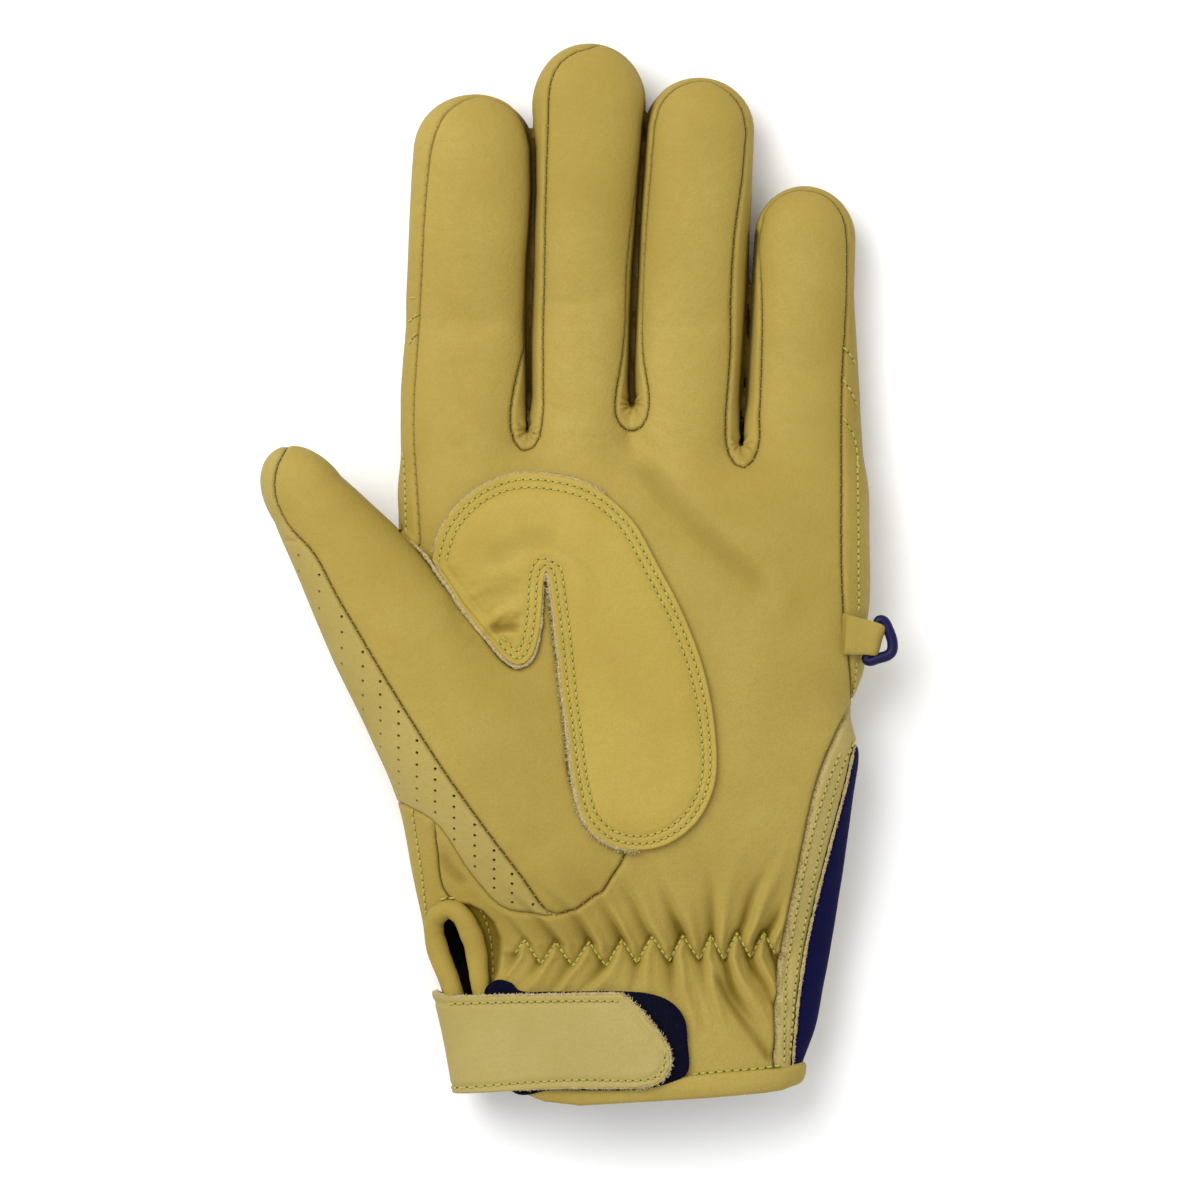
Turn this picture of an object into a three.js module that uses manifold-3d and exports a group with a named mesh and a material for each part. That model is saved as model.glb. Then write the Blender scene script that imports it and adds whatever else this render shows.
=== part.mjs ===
// A short leather motorcycle glove for the left hand, lying on its back with the palm up.
// Millimetres. +Y runs from the cuff to the fingertips, the thumb lies towards -X and +Z is up.
// The origin is below the middle of the glove, on the surface that it rests on.

import * as THREE from "three";
import { mergeVertices } from "three/addons/utils/BufferGeometryUtils.js";
import Module from "manifold-3d";

const wasm = await Module();
wasm.setup();

// Driving sizes
const LEATHER = 1.6;
const GAP = 0.3; // space between pieces that touch
const FLOOR = 0;
const SKY = 60; // above everything
const FAR = 160; // beyond everything in plan
const FINGER_SEAM_Z = 12.5; // height of the palm leather's edge on the fingers' inner sides
const FOURCHETTE_LOW_Z = 6.5; // height of the fourchettes' lower edge
const THUMB_SEAM_Z = 19;
const STRIP_LOW_Z = 17; // lowest point of the perforated strip where it crosses the palm
const SIDE_SEAM_Z = 9; // lower edge of the stretch insert
const VENT_LOW_Z = 13.4; // lower edge of the slit at the thumb side
const PATCH_THICK = 1.4;
const LOOP_THICK = 1.6;
const HEM_THICK = 1.4;
const HEM_WIDTH = 5.6;
const BINDING_RADIUS = 1.9;
const BINDING_SINK = 0.4; // its middle below the leather's outside
const BINDING_STEPS = 16;
const STRAP_LIFT = LOOP_THICK + 2 * GAP; // underside of the strap above the cuff
const GATHER_HEIGHT = 1.5;
const HEM_OVERHANG = 0.5; // of the hem beyond the panels' cut edge
const WELD = 1e-4; // corners closer than this are one
const PERFORATION = {
  radius: 0.65,
  pitch: 6,
  first: 20,
  last: 107,
  sides: 4,
  rows: [-0.62, -0.8, -0.93], // places across the thumb, -1 at its outer side
};

// Palm and cuff: sections from beyond the cuff's edge to the roots of the fingers.
// gather is the height of the ridges near the strap, 0 to 1, and gatherSide that beside it.
const PALM_SECTIONS = [
  { y: -130, left: -24.5, right: 46.4, low: 3.6, high: 23.3, gather: 0, gatherSide: 0 },
  { y: -106, left: -29, right: 52.4, low: 0.4, high: 24.8, gather: 0, gatherSide: 0.2 },
  { y: -94.6, left: -32.4, right: 55.2, low: -0.6, high: 24.4, gather: 0, gatherSide: 1 },
  { y: -90.5, left: -34.6, right: 56.4, low: -0.8, high: 23.6, gather: 1, gatherSide: 1 },
  { y: -87, left: -35.6, right: 57.2, low: -1, high: 22.4, gather: 0.5, gatherSide: 0.5 },
  { y: -81, left: -36.4, right: 58.3, low: -1, high: 24.2, gather: 1, gatherSide: 1 },
  { y: -66, left: -39.3, right: 60.9, low: -1, high: 28.2, gather: 0, gatherSide: 0 },
  { y: -48, left: -40.6, right: 63.4, low: -1, high: 29.8, gather: 0, gatherSide: 0 },
  { y: -33, left: -40.6, right: 62.6, low: -1, high: 30.4, gather: 0, gatherSide: 0 },
  { y: -20, left: -40.6, right: 65.7, low: -1, high: 30.6, gather: 0, gatherSide: 0 },
  { y: -4, left: -40.8, right: 66.6, low: -1, high: 30, gather: 0, gatherSide: 0 },
  { y: 12, left: -41.6, right: 66, low: -1, high: 28, gather: 0, gatherSide: 0 },
  { y: 25, left: -41.8, right: 65.2, low: -0.8, high: 23.4, gather: 0, gatherSide: 0 },
  { y: 33, left: -38, right: 61, low: 2.5, high: 16.5, gather: 0, gatherSide: 0 },
];
const PALM_POWER = 2.5;
const PALM_FACETS = { upper: 26, lower: 8 };
const PALM_FACETS_INSIDE = { upper: 12, lower: 10 };
const GATHER_AREA = { from: -17, side: 31, to: 47 };

// Soft valleys pressed into the palm, each from one end to the other.
const PALM_FOLDS = [
  { x0: 13, y0: 27, x1: 42, y1: -4, depth: 1.5, width: 7 },
  { x0: 56, y0: 12, x1: 50, y1: -20, depth: 0.8, width: 8 },
];

// Fingers: sections from the root inside the palm to where the rounding of the tip begins.
const FINGERS = {
  index: {
    tip: 110.6,
    sections: [
      { y: 8, left: -39, right: -11.5, low: -0.5, high: 26 },
      { y: 24, left: -41, right: -11.9, low: -0.8, high: 23 },
      { y: 40, left: -41.4, right: -12.1, low: -0.6, high: 20.6 },
      { y: 56, left: -40.4, right: -11.4, low: -0.4, high: 19 },
      { y: 70, left: -39.9, right: -10.5, low: -0.2, high: 19.8 },
      { y: 97, left: -38.6, right: -10.1, low: 0.8, high: 19.4 },
    ],
  },
  middle: {
    tip: 122.1,
    sections: [
      { y: 8, left: -9, right: 13, low: -0.5, high: 26.4 },
      { y: 24, left: -9.4, right: 12.6, low: -0.8, high: 23.2 },
      { y: 42, left: -8.4, right: 12.2, low: -0.6, high: 20.6 },
      { y: 60, left: -8.8, right: 12.8, low: -0.4, high: 19 },
      { y: 78, left: -8.9, right: 14.2, low: 0, high: 20 },
      { y: 108, left: -10.9, right: 15.3, low: 1.4, high: 20 },
    ],
  },
  ring: {
    tip: 114.3,
    sections: [
      { y: 6, left: 15, right: 38, low: -0.5, high: 26 },
      { y: 24, left: 14, right: 38, low: -0.8, high: 23 },
      { y: 44, left: 13.8, right: 37.8, low: -0.6, high: 20.2 },
      { y: 60, left: 14, right: 38.6, low: -0.4, high: 19 },
      { y: 76, left: 14.5, right: 39.1, low: 0, high: 19.8 },
      { y: 102, left: 16, right: 40.2, low: 1.2, high: 19.4 },
    ],
  },
  little: {
    tip: 89.2,
    sections: [
      { y: 0, left: 40.5, right: 64.5, low: -0.5, high: 25 },
      { y: 18, left: 39.8, right: 65.4, low: -0.8, high: 22.6 },
      { y: 36, left: 40.4, right: 64.9, low: -0.6, high: 19.6 },
      { y: 50, left: 39.9, right: 63.8, low: -0.3, high: 18.4 },
      { y: 58, left: 39.7, right: 63.4, low: -0.1, high: 18.8 },
      { y: 77, left: 39.8, right: 63.5, low: 0.6, high: 18.4 },
    ],
  },
};
const FINGER_POWER = 2.2;
const FINGER_FACETS = { upper: 8, lower: 5 };
const FINGER_FACETS_INSIDE = { upper: 6, lower: 4 };

// Thumb with the ball of the thumb, along its own axis, which leans from the cuff towards -X.
const THUMB = {
  x: 1.2,
  y: -76.3,
  lean: THREE.MathUtils.degToRad(34.9),
  base: 0,
  tip: 126.4,
  sections: [
    { y: 17, left: -17.4, right: 17.6, low: 7, high: 30.6 },
    { y: 35, left: -18.6, right: 18.6, low: 6, high: 33.6 },
    { y: 55, left: -18.9, right: 18.3, low: 6.5, high: 34 },
    { y: 70, left: -16.6, right: 17.6, low: 7.5, high: 33.4 },
    { y: 84, left: -14.2, right: 16.4, low: 8.5, high: 32.4 },
    { y: 97, left: -11.9, right: 14, low: 9.5, high: 31 },
    { y: 113, left: -8.8, right: 10.6, low: 11.5, high: 29 },
  ],
};
const THUMB_POWER = 2.3;
const THUMB_FACETS = { upper: 10, lower: 8 };
const THUMB_FACETS_INSIDE = { upper: 8, lower: 6 };

// Slopes at which a closed end is rounded off, in degrees of a quarter turn.
const END_STEPS = [38, 76];
const END_STEPS_INSIDE = [45, 78];

// Seams and edges seen from above, as points of one outline each.
const SEAM = {
  cuffLeft: [
    { x: -22.3, y: -FAR },
    { x: -22.3, y: -117 },
    { x: -26, y: -95 },
    { x: -28.4, y: -77 },
    { x: -31.7, y: -72.5 },
    { x: -33.6, y: -58 },
  ],
  indexOuter: [
    { x: -37, y: 6 },
    { x: -38.8, y: 36 },
    { x: -37.2, y: 62 },
    { x: -34.7, y: 97 },
    { x: -32.2, y: 105.1 },
    { x: -28.1, y: 108.3 },
    { x: -23, y: 110.6 },
    { x: -9.8, y: 101 },
  ],
  indexMiddle: [
    { x: -10.6, y: 60 },
    { x: -11.6, y: 46 },
    { x: -15.2, y: 34 },
    { x: -14.2, y: 29.6 },
    { x: -12.2, y: 28.3 },
    { x: -10, y: 29.6 },
    { x: -9, y: 34 },
    { x: -8.8, y: 60 },
    { x: -7.7, y: 104 },
  ],
  middleTip: [
    { x: -7, y: 113 },
    { x: -2.8, y: 119.8 },
    { x: 2.3, y: 121.4 },
    { x: 10, y: 123 },
    { x: 15.8, y: 106 },
  ],
  middleRing: [
    { x: 13.7, y: 64 },
    { x: 12.4, y: 50 },
    { x: 8.6, y: 39 },
    { x: 9.6, y: 34.4 },
    { x: 12, y: 32.9 },
    { x: 14.5, y: 34.4 },
    { x: 15.5, y: 39 },
    { x: 14.1, y: 52 },
    { x: 15.6, y: 88 },
    { x: 16.7, y: 102 },
  ],
  ringTip: [
    { x: 18.2, y: 108.6 },
    { x: 23.7, y: 113.4 },
    { x: 29, y: 114.2 },
    { x: 34.5, y: 110.8 },
    { x: 37.6, y: 107.2 },
    { x: 38.5, y: 101.5 },
  ],
  ringLittle: [
    { x: 35.4, y: 70 },
    { x: 34.9, y: 48 },
    { x: 33.9, y: 31 },
    { x: 34.9, y: 26.2 },
    { x: 37.3, y: 24.4 },
    { x: 39.9, y: 26.2 },
    { x: 41, y: 31 },
    { x: 41.4, y: 58 },
    { x: 40.8, y: 72 },
  ],
  littleOuter: [
    { x: 42.6, y: 84.6 },
    { x: 46, y: 88 },
    { x: 51, y: 88.8 },
    { x: 57, y: 87 },
    { x: 60.6, y: 82.4 },
    { x: 61.7, y: 76.6 },
    { x: 60.4, y: 36 },
    { x: 60.6, y: -8 },
    { x: 62, y: -20 },
  ],
  placketInner: [
    { x: 63.6, y: -26 },
    { x: 59.8, y: -35.6 },
    { x: 54.5, y: -47.4 },
    { x: 49.5, y: -70.8 },
    { x: 45.4, y: -92.9 },
    { x: 45.4, y: -FAR },
  ],
  placketOuter: [
    { x: 48.8, y: -FAR },
    { x: 48.8, y: -114.5 },
    { x: 51.5, y: -89.2 },
    { x: 55.2, y: -71.5 },
    { x: 61.2, y: -47.4 },
    { x: 63, y: -39.3 },
  ],
  thumbInner: [
    { x: 9.4, y: -66.6 },
    { x: 10.4, y: -63.4 },
    { x: 1, y: -51 },
    { x: -1.6, y: -33.8 },
    { x: -6.2, y: -7 },
    { x: -8.1, y: -4.4 },
    { x: -9.3, y: -6.4 },
    { x: -10.2, y: -14 },
    { x: -14.3, y: -21.6 },
    { x: -16.6, y: -20.7 },
    { x: -25.3, y: -9 },
    { x: -34, y: 2.5 },
    { x: -41.4, y: 9.9 },
    { x: -46, y: 20 },
    { x: -62, y: 36 },
  ],
  thumbOuter: [
    { x: -66.9, y: 29.7 },
    { x: -69.6, y: 24.2 },
    { x: -70, y: 17.6 },
    { x: -67, y: 10.8 },
    { x: -61.2, y: 4.6 },
    { x: -55.2, y: -6.2 },
    { x: -33.4, y: -41.9 },
    { x: -13.8, y: -69 },
    { x: -6.2, y: -78.2 },
    { x: 0, y: -76.4 },
    { x: 5.6, y: -72.6 },
  ],
  stripLower: [
    { x: -6.2, y: -78.4 },
    { x: -13.8, y: -78 },
    { x: -18.4, y: -76.4 },
    { x: -25.3, y: -69 },
    { x: -33.1, y: -57.5 },
    { x: -40.7, y: -53.1 },
  ],
};

const PATCH_EDGE = [
  { x: -32.9, y: 6.4 },
  { x: -28.8, y: 16.8 },
  { x: -18.4, y: 22.3 },
  { x: -8, y: 22.9 },
  { x: 1.2, y: 20.9 },
  { x: 10.3, y: 14.5 },
  { x: 17.2, y: 4.1 },
  { x: 23, y: -8.5 },
  { x: 28.3, y: -22.3 },
  { x: 30.8, y: -36.1 },
  { x: 30.8, y: -47.6 },
  { x: 26.9, y: -56.4 },
  { x: 20, y: -61.8 },
  { x: 12.7, y: -63.2 },
  { x: 6, y: -61.7 },
  { x: 1, y: -57 },
  { x: -1.8, y: -48.8 },
  { x: -3.5, y: -33.8 },
  { x: -7.1, y: -7 },
  { x: -8.2, y: -2.6 },
  { x: -9.1, y: -7 },
  { x: -9.3, y: -14 },
  { x: -14.3, y: -21.4 },
  { x: -16.6, y: -20.4 },
  { x: -25.3, y: -8.8 },
  { x: -33.6, y: 2.4 },
];

// The strap leaves the picture of the palm at its left end and goes on round the cuff's side.
const STRAP_EDGE = [
  { x: -60, y: -98.4 },
  { x: -31.5, y: -97.1 },
  { x: 9.7, y: -96.4 },
  { x: 13.8, y: -98.2 },
  { x: 17.2, y: -103 },
  { x: 20.9, y: -109 },
  { x: 20.9, y: -113 },
  { x: 18.9, y: -116.2 },
  { x: 16.1, y: -117.6 },
  { x: -4.6, y: -117.5 },
  { x: -28.5, y: -119.4 },
  { x: -60, y: -121 },
];
const STRAP_ROOT = {
  edge: [
    { x: -60, y: -98.4 },
    { x: -20, y: -98.4 },
    { x: -20, y: -110 },
    { x: -60, y: -110 },
  ],
  low: 2.2,
  high: 12,
};

const LOOP_EDGE = [
  { x: -20, y: -94.2 },
  { x: -8, y: -95.4 },
  { x: 16, y: -96.2 },
  { x: 21.4, y: -98 },
  { x: 24.2, y: -101.4 },
  { x: 24.8, y: -108 },
  { x: 24.6, y: -114.6 },
  { x: -6, y: -115.4 },
  { x: -18, y: -114 },
];

// Edge of the cuff from the thumb side to the little finger's side.
const MOUTH_EDGE = [
  { x: -FAR, y: -117.2 },
  { x: -15.4, y: -118.2 },
  { x: -8.1, y: -121 },
  { x: 0, y: -121.9 },
  { x: 27.6, y: -120.3 },
  { x: 46, y: -118.9 },
  { x: 52, y: -117.1 },
  { x: FAR, y: -117.1 },
];

// Middle of the rolled binding, up one side of the slit and down the other.
const VENT_PATH = [
  { x: -24.4, y: -117 },
  { x: -26.6, y: -105 },
  { x: -29.2, y: -95 },
  { x: -32.2, y: -88 },
  { x: -33, y: -82 },
  { x: -31.6, y: -78.3 },
  { x: -28.8, y: -76.9 },
  { x: -25.6, y: -78.2 },
  { x: -23.8, y: -82 },
  { x: -23.2, y: -90 },
  { x: -21.8, y: -104 },
  { x: -20.2, y: -117 },
];

// The tab and its ring beside the little finger's side of the palm.
const RING = {
  x: 67,
  y: -15,
  z: 22.2,
  turn: THREE.MathUtils.degToRad(-17.2), // of the straight bar from +Y
  wire: 0.95,
  bar: 4.3, // half length of the straight bar
  shoulder: 5.3, // half width outside the bar's ends
  reach: 7, // from the bar to the far corner
  blunt: 0.4, // how far the far corner bulges past the reach
  apexShift: -1,
  corner: 1.4,
  bend: 4.34, // where the shoulders' curves end
  bendUpper: 3.06,
  bendLower: 3.62,
  sides: 8,
};
const TAB = { halfLength: 3.4, wall: 1.35, tail: 7.4, slope: 0.41, tunnel: 1.3, facets: 8 };

// Colours of the materials, with roughness
const FINISH = {
  leather: { color: "#b9a253", roughness: 0.55, metalness: 0 },
  leatherPale: { color: "#bea95d", roughness: 0.58, metalness: 0 },
  navyFabric: { color: "#0d1036", roughness: 0.9, metalness: 0 },
  navyHard: { color: "#14173e", roughness: 0.45, metalness: 0 },
};

// A closed mesh as a solid that can be joined and cut.
function solid(geometry) {
  const bare = geometry.clone();
  bare.deleteAttribute("normal");
  bare.deleteAttribute("uv");
  const merged = mergeVertices(bare, WELD);
  return new wasm.Manifold(
    new wasm.Mesh({
      numProp: 3,
      vertProperties: merged.attributes.position.array,
      triVerts: new Uint32Array(merged.index.array),
    }),
  );
}

function geometryOf(made) {
  const mesh = made.getMesh();
  const geometry = new THREE.BufferGeometry();
  geometry.setAttribute("position", new THREE.BufferAttribute(mesh.vertProperties, 3));
  geometry.setIndex(new THREE.BufferAttribute(mesh.triVerts, 1));
  geometry.computeVertexNormals();
  return geometry;
}

function joined(solids) {
  return solids.reduce((all, one) => all.add(one));
}

// An upright block over an outline in plan.
function prism(outline, low = FLOOR - GAP, high = SKY) {
  const shape = new THREE.Shape(outline.map((p) => new THREE.Vector2(p.x, p.y)));
  const block = new THREE.ExtrudeGeometry(shape, { depth: high - low, bevelEnabled: false });
  return solid(block.translate(0, 0, low));
}

function signedArea(outline) {
  return outline.reduce((sum, p, i) => {
    const q = outline[(i + 1) % outline.length];
    return sum + (p.x * q.y - q.x * p.y) / 2;
  }, 0);
}

// An outline moved outwards by a distance.
function grown(outline, distance) {
  const turn = Math.sign(signedArea(outline));
  const count = outline.length;
  return outline.map((p, i) => {
    const before = outline[(i + count - 1) % count];
    const after = outline[(i + 1) % count];
    const first = new THREE.Vector2(p.x - before.x, p.y - before.y).normalize();
    const second = new THREE.Vector2(after.x - p.x, after.y - p.y).normalize();
    const bisector = new THREE.Vector2(first.y + second.y, -first.x - second.x);
    const stretch = Math.max(bisector.lengthSq() / 2, 0.5);
    return {
      x: p.x + (turn * distance * bisector.x) / stretch,
      y: p.y + (turn * distance * bisector.y) / stretch,
    };
  });
}

// Place of a point across a section, from -1 at the left to 1 at the right, closer at the sides.
function across(step) {
  return 0.35 * step + 0.65 * Math.sin((Math.PI * step) / 2);
}

function ringOf(section, facets, power, grow, lift = () => 0) {
  const middle = (section.left + section.right) / 2;
  const half = (section.right - section.left) / 2 + grow;
  const centre = (section.low + section.high) / 2;
  const rise = (section.high - section.low) / 2 + grow;
  const points = [];
  const height = (s) => rise * Math.pow(Math.max(1 - Math.pow(Math.abs(s), power), 0), 1 / power);
  for (let k = 0; k <= facets.upper; k += 1) {
    const s = across(-1 + (2 * k) / facets.upper);
    const x = middle + half * s;
    points.push(new THREE.Vector3(x, section.y, centre + height(s) + lift(x, section, k)));
  }
  for (let k = 1; k < facets.lower; k += 1) {
    const s = across(1 - (2 * k) / facets.lower);
    points.push(new THREE.Vector3(middle + half * s, section.y, centre - height(s)));
  }
  return points;
}

// A closed body through rings of equal length.
function loft(rings) {
  const size = rings[0].length;
  const positions = [];
  const indices = [];
  rings.forEach((ring) => ring.forEach((p) => positions.push(p.x, p.y, p.z)));
  for (let i = 0; i < rings.length - 1; i += 1) {
    for (let k = 0; k < size; k += 1) {
      const a = i * size + k;
      const b = i * size + ((k + 1) % size);
      indices.push(a, b, b + size, a, b + size, a + size);
    }
  }
  [rings[0], rings[rings.length - 1]].forEach((ring, end) => {
    const centre = ring.reduce((sum, p) => sum.add(p), new THREE.Vector3()).divideScalar(size);
    const hub = positions.length / 3;
    const start = end * (rings.length - 1) * size;
    positions.push(centre.x, centre.y, centre.z);
    for (let k = 0; k < size; k += 1) {
      const a = start + k;
      const b = start + ((k + 1) % size);
      indices.push(hub, end ? a : b, end ? b : a);
    }
  });
  const geometry = new THREE.BufferGeometry();
  geometry.setAttribute("position", new THREE.Float32BufferAttribute(positions, 3));
  geometry.setIndex(indices);
  return geometry;
}

// Sections that close an end like a fingertip, from the last full section to the tip.
function roundedEnd(section, tip, steps) {
  const middle = (section.left + section.right) / 2;
  const half = (section.right - section.left) / 2;
  const centre = (section.low + section.high) / 2;
  const rise = (section.high - section.low) / 2;
  return steps.map((degrees) => {
    const angle = THREE.MathUtils.degToRad(degrees);
    const share = Math.cos(angle);
    return {
      y: section.y + (tip - section.y) * Math.sin(angle),
      left: middle - half * share,
      right: middle + half * share,
      low: centre - rise * share,
      high: centre + rise * share,
    };
  });
}

function foldDepth(x, y) {
  return PALM_FOLDS.reduce((depth, fold) => {
    const run = new THREE.Vector2(fold.x1 - fold.x0, fold.y1 - fold.y0);
    const from = new THREE.Vector2(x - fold.x0, y - fold.y0);
    const along = THREE.MathUtils.clamp(from.dot(run) / run.lengthSq(), 0, 1);
    const away = from.sub(run.multiplyScalar(along)).length();
    return depth + fold.depth * Math.exp(-Math.pow(away / fold.width, 2));
  }, 0);
}

// Every other point of a section stands up as a ridge of the gathered wrist.
function gatherLift(x, section, step) {
  const area = GATHER_AREA;
  if (x < area.from || x > area.to || step % 2) {
    return 0;
  }
  return GATHER_HEIGHT * (x < area.side ? section.gather : section.gatherSide);
}

// The hollow's walls are never seen from outside, so they have every other section.
function thinned(sections) {
  return sections.filter((s, i) => i % 2 === 0 || i === sections.length - 1);
}

function palmBody(grow, gathered) {
  const inside = grow < 0;
  const lift = (x, section, step) =>
    (gathered ? gatherLift(x, section, step) : 0) - foldDepth(x, section.y);
  const facets = inside ? PALM_FACETS_INSIDE : PALM_FACETS;
  const main = inside ? thinned(PALM_SECTIONS) : PALM_SECTIONS;
  const sections = main.map((s, i) => (i === main.length - 1 ? { ...s, y: s.y + grow } : s));
  return solid(loft(sections.map((s) => ringOf(s, facets, PALM_POWER, grow, lift))));
}

function fingerBody(finger, grow) {
  const inside = grow < 0;
  const facets = inside ? FINGER_FACETS_INSIDE : FINGER_FACETS;
  const main = inside ? thinned(finger.sections) : finger.sections;
  const end = roundedEnd(main[main.length - 1], finger.tip, inside ? END_STEPS_INSIDE : END_STEPS);
  return solid(loft([...main, ...end].map((s) => ringOf(s, facets, FINGER_POWER, grow))));
}

const thumbFrame = new THREE.Matrix4()
  .makeTranslation(THUMB.x, THUMB.y, 0)
  .multiply(new THREE.Matrix4().makeRotationZ(THUMB.lean));

function thumbBody(grow) {
  const inside = grow < 0;
  const facets = inside ? THUMB_FACETS_INSIDE : THUMB_FACETS;
  const steps = inside ? END_STEPS_INSIDE : END_STEPS;
  const main = inside ? thinned(THUMB.sections) : THUMB.sections;
  const sections = [
    ...roundedEnd(main[0], THUMB.base, steps).reverse(),
    ...main,
    ...roundedEnd(main[main.length - 1], THUMB.tip, steps),
  ];
  const rings = sections.map((s) => ringOf(s, facets, THUMB_POWER, grow));
  return solid(loft(rings).applyMatrix4(thumbFrame));
}

// The whole hand, grown by a distance all round, or shrunk where that is below zero.
function handBody(grow, gathered = false) {
  const fingers = Object.values(FINGERS).map((finger) => fingerBody(finger, grow));
  return joined([palmBody(grow, gathered), ...fingers, thumbBody(grow)]);
}

function everywhereAbove(height) {
  const corners = [
    { x: -FAR, y: -FAR },
    { x: FAR, y: -FAR },
    { x: FAR, y: FAR },
    { x: -FAR, y: FAR },
  ];
  return prism(corners, height);
}

// Everything on the hand's side of the cuff's edge, moved inwards by a distance.
function pastMouth(distance) {
  const edge = MOUTH_EDGE.map((p) => ({ x: p.x, y: p.y + distance }));
  return prism([...edge, { x: FAR, y: FAR }, { x: -FAR, y: FAR }]);
}

const ventCurve = new THREE.CatmullRomCurve3(
  VENT_PATH.map((p) => new THREE.Vector3(p.x, p.y, cuffTop(p.x, p.y) - BINDING_SINK)),
);

// The slit is cut as wide as its binding, and on past the cuff's edge.
function ventBlock() {
  const outline = grown(ventCurve.getSpacedPoints(BINDING_STEPS), BINDING_RADIUS + 2 * GAP);
  outline[0].y = -FAR;
  outline[outline.length - 1].y = -FAR;
  return prism(outline, VENT_LOW_Z);
}
const vent = ventBlock();

function shell() {
  const outside = handBody(0, true)
    .intersect(everywhereAbove(FLOOR))
    .intersect(pastMouth(HEM_OVERHANG));
  const inside = handBody(-LEATHER).intersect(everywhereAbove(FLOOR + LEATHER));
  return outside.subtract(inside).subtract(vent);
}

const palmOutline = [
  ...SEAM.cuffLeft,
  ...SEAM.indexOuter,
  ...SEAM.indexMiddle,
  ...SEAM.middleTip,
  ...SEAM.middleRing,
  ...SEAM.ringTip,
  ...SEAM.ringLittle,
  ...SEAM.littleOuter,
  ...SEAM.placketInner,
];
const thumbFrontOutline = [...SEAM.thumbInner, ...SEAM.thumbOuter];
const thumbStripOutline = [
  ...SEAM.stripLower,
  { x: -85, y: -53.1 },
  { x: -85, y: 45 },
  { x: -60, y: 45 },
  { x: -41.4, y: 10.4 },
];
const thumbFreeOutline = [
  { x: -85, y: 45 },
  { x: -47, y: 45 },
  { x: -47, y: 15 },
  { x: -41.2, y: 7 },
  { x: -41, y: -52 },
  { x: -85, y: -52 },
];
const placketOutline = [
  ...SEAM.placketInner,
  ...SEAM.placketOuter,
  { x: 70, y: -38 },
  { x: 70, y: -28 },
];
const gussetOutline = [...SEAM.placketOuter, { x: 80, y: -36 }, { x: 80, y: -FAR }];

function between(left, right, low, high) {
  return [
    { x: left, y: low },
    { x: right, y: low },
    { x: right, y: high },
    { x: left, y: high },
  ];
}

// The panels that the skin is sewn from. Each takes its region from what the ones before it leave.
const PANELS = [
  {
    name: "thumb_front",
    finish: FINISH.leather,
    region: (g) => prism(grown(thumbFrontOutline, g), THUMB_SEAM_Z - g),
  },
  {
    name: "thumb_back",
    finish: FINISH.leatherPale,
    region: (g) =>
      prism(grown(thumbStripOutline, g), STRIP_LOW_Z - g).add(prism(grown(thumbFreeOutline, g))),
  },
  {
    name: "side_placket",
    finish: FINISH.leatherPale,
    region: (g) => prism(grown(placketOutline, g), SIDE_SEAM_Z - g),
  },
  {
    name: "stretch_gusset",
    finish: FINISH.navyFabric,
    region: (g) => prism(grown(gussetOutline, g), SIDE_SEAM_Z - g),
  },
  {
    name: "palm_panel",
    finish: FINISH.leather,
    region: (g) => prism(grown(palmOutline, g), FINGER_SEAM_Z - g),
  },
  {
    name: "fourchette_index_middle",
    finish: FINISH.leather,
    region: (g) => prism(grown(between(-25, 2, 27, 100), g), FOURCHETTE_LOW_Z - g),
  },
  {
    name: "fourchette_middle_ring",
    finish: FINISH.leather,
    region: (g) => prism(grown(between(3, 26, 31.5, 103), g), FOURCHETTE_LOW_Z - g),
  },
  {
    name: "fourchette_ring_little",
    finish: FINISH.leather,
    region: (g) => prism(grown(between(27, 51, 23, 79), g), FOURCHETTE_LOW_Z - g),
  },
];

const pieces = [];

function keep(name, finish, made) {
  pieces.push({ name, finish, made });
}

// Holes of the thumb's perforated strip, in staggered rows, each drilled square to the leather.
function perforations() {
  const drills = [];
  PERFORATION.rows.forEach((share, row) => {
    const start = PERFORATION.first + (row % 2) * (PERFORATION.pitch / 2);
    for (let y = start; y < PERFORATION.last; y += PERFORATION.pitch) {
      drills.push(drill(share, y));
    }
  });
  return joined(drills);
}

function thumbSectionAt(y) {
  const after = Math.max(THUMB.sections.findIndex((s) => s.y > y), 1);
  const a = THUMB.sections[after - 1];
  const b = THUMB.sections[after];
  const t = (y - a.y) / (b.y - a.y);
  const mix = (key) => THREE.MathUtils.lerp(a[key], b[key], t);
  return { left: mix("left"), right: mix("right"), low: mix("low"), high: mix("high") };
}

function drill(share, y) {
  const section = thumbSectionAt(y);
  const middle = (section.left + section.right) / 2;
  const half = (section.right - section.left) / 2;
  const rise = (section.high - section.low) / 2;
  const up = Math.pow(1 - Math.pow(Math.abs(share), THUMB_POWER), 1 / THUMB_POWER);
  const spot = new THREE.Vector3(middle + half * share, y, (section.low + section.high) / 2 + rise * up);
  const slope = new THREE.Vector3(
    (Math.sign(share) * Math.pow(Math.abs(share), THUMB_POWER - 1)) / half,
    0,
    Math.pow(up, THUMB_POWER - 1) / rise,
  ).normalize();
  const pin = new THREE.CylinderGeometry(
    PERFORATION.radius,
    PERFORATION.radius,
    4 * LEATHER,
    PERFORATION.sides,
  );
  const turn = new THREE.Quaternion().setFromUnitVectors(new THREE.Vector3(0, 1, 0), slope);
  return solid(pin.applyQuaternion(turn).translate(spot.x, spot.y, spot.z).applyMatrix4(thumbFrame));
}

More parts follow.
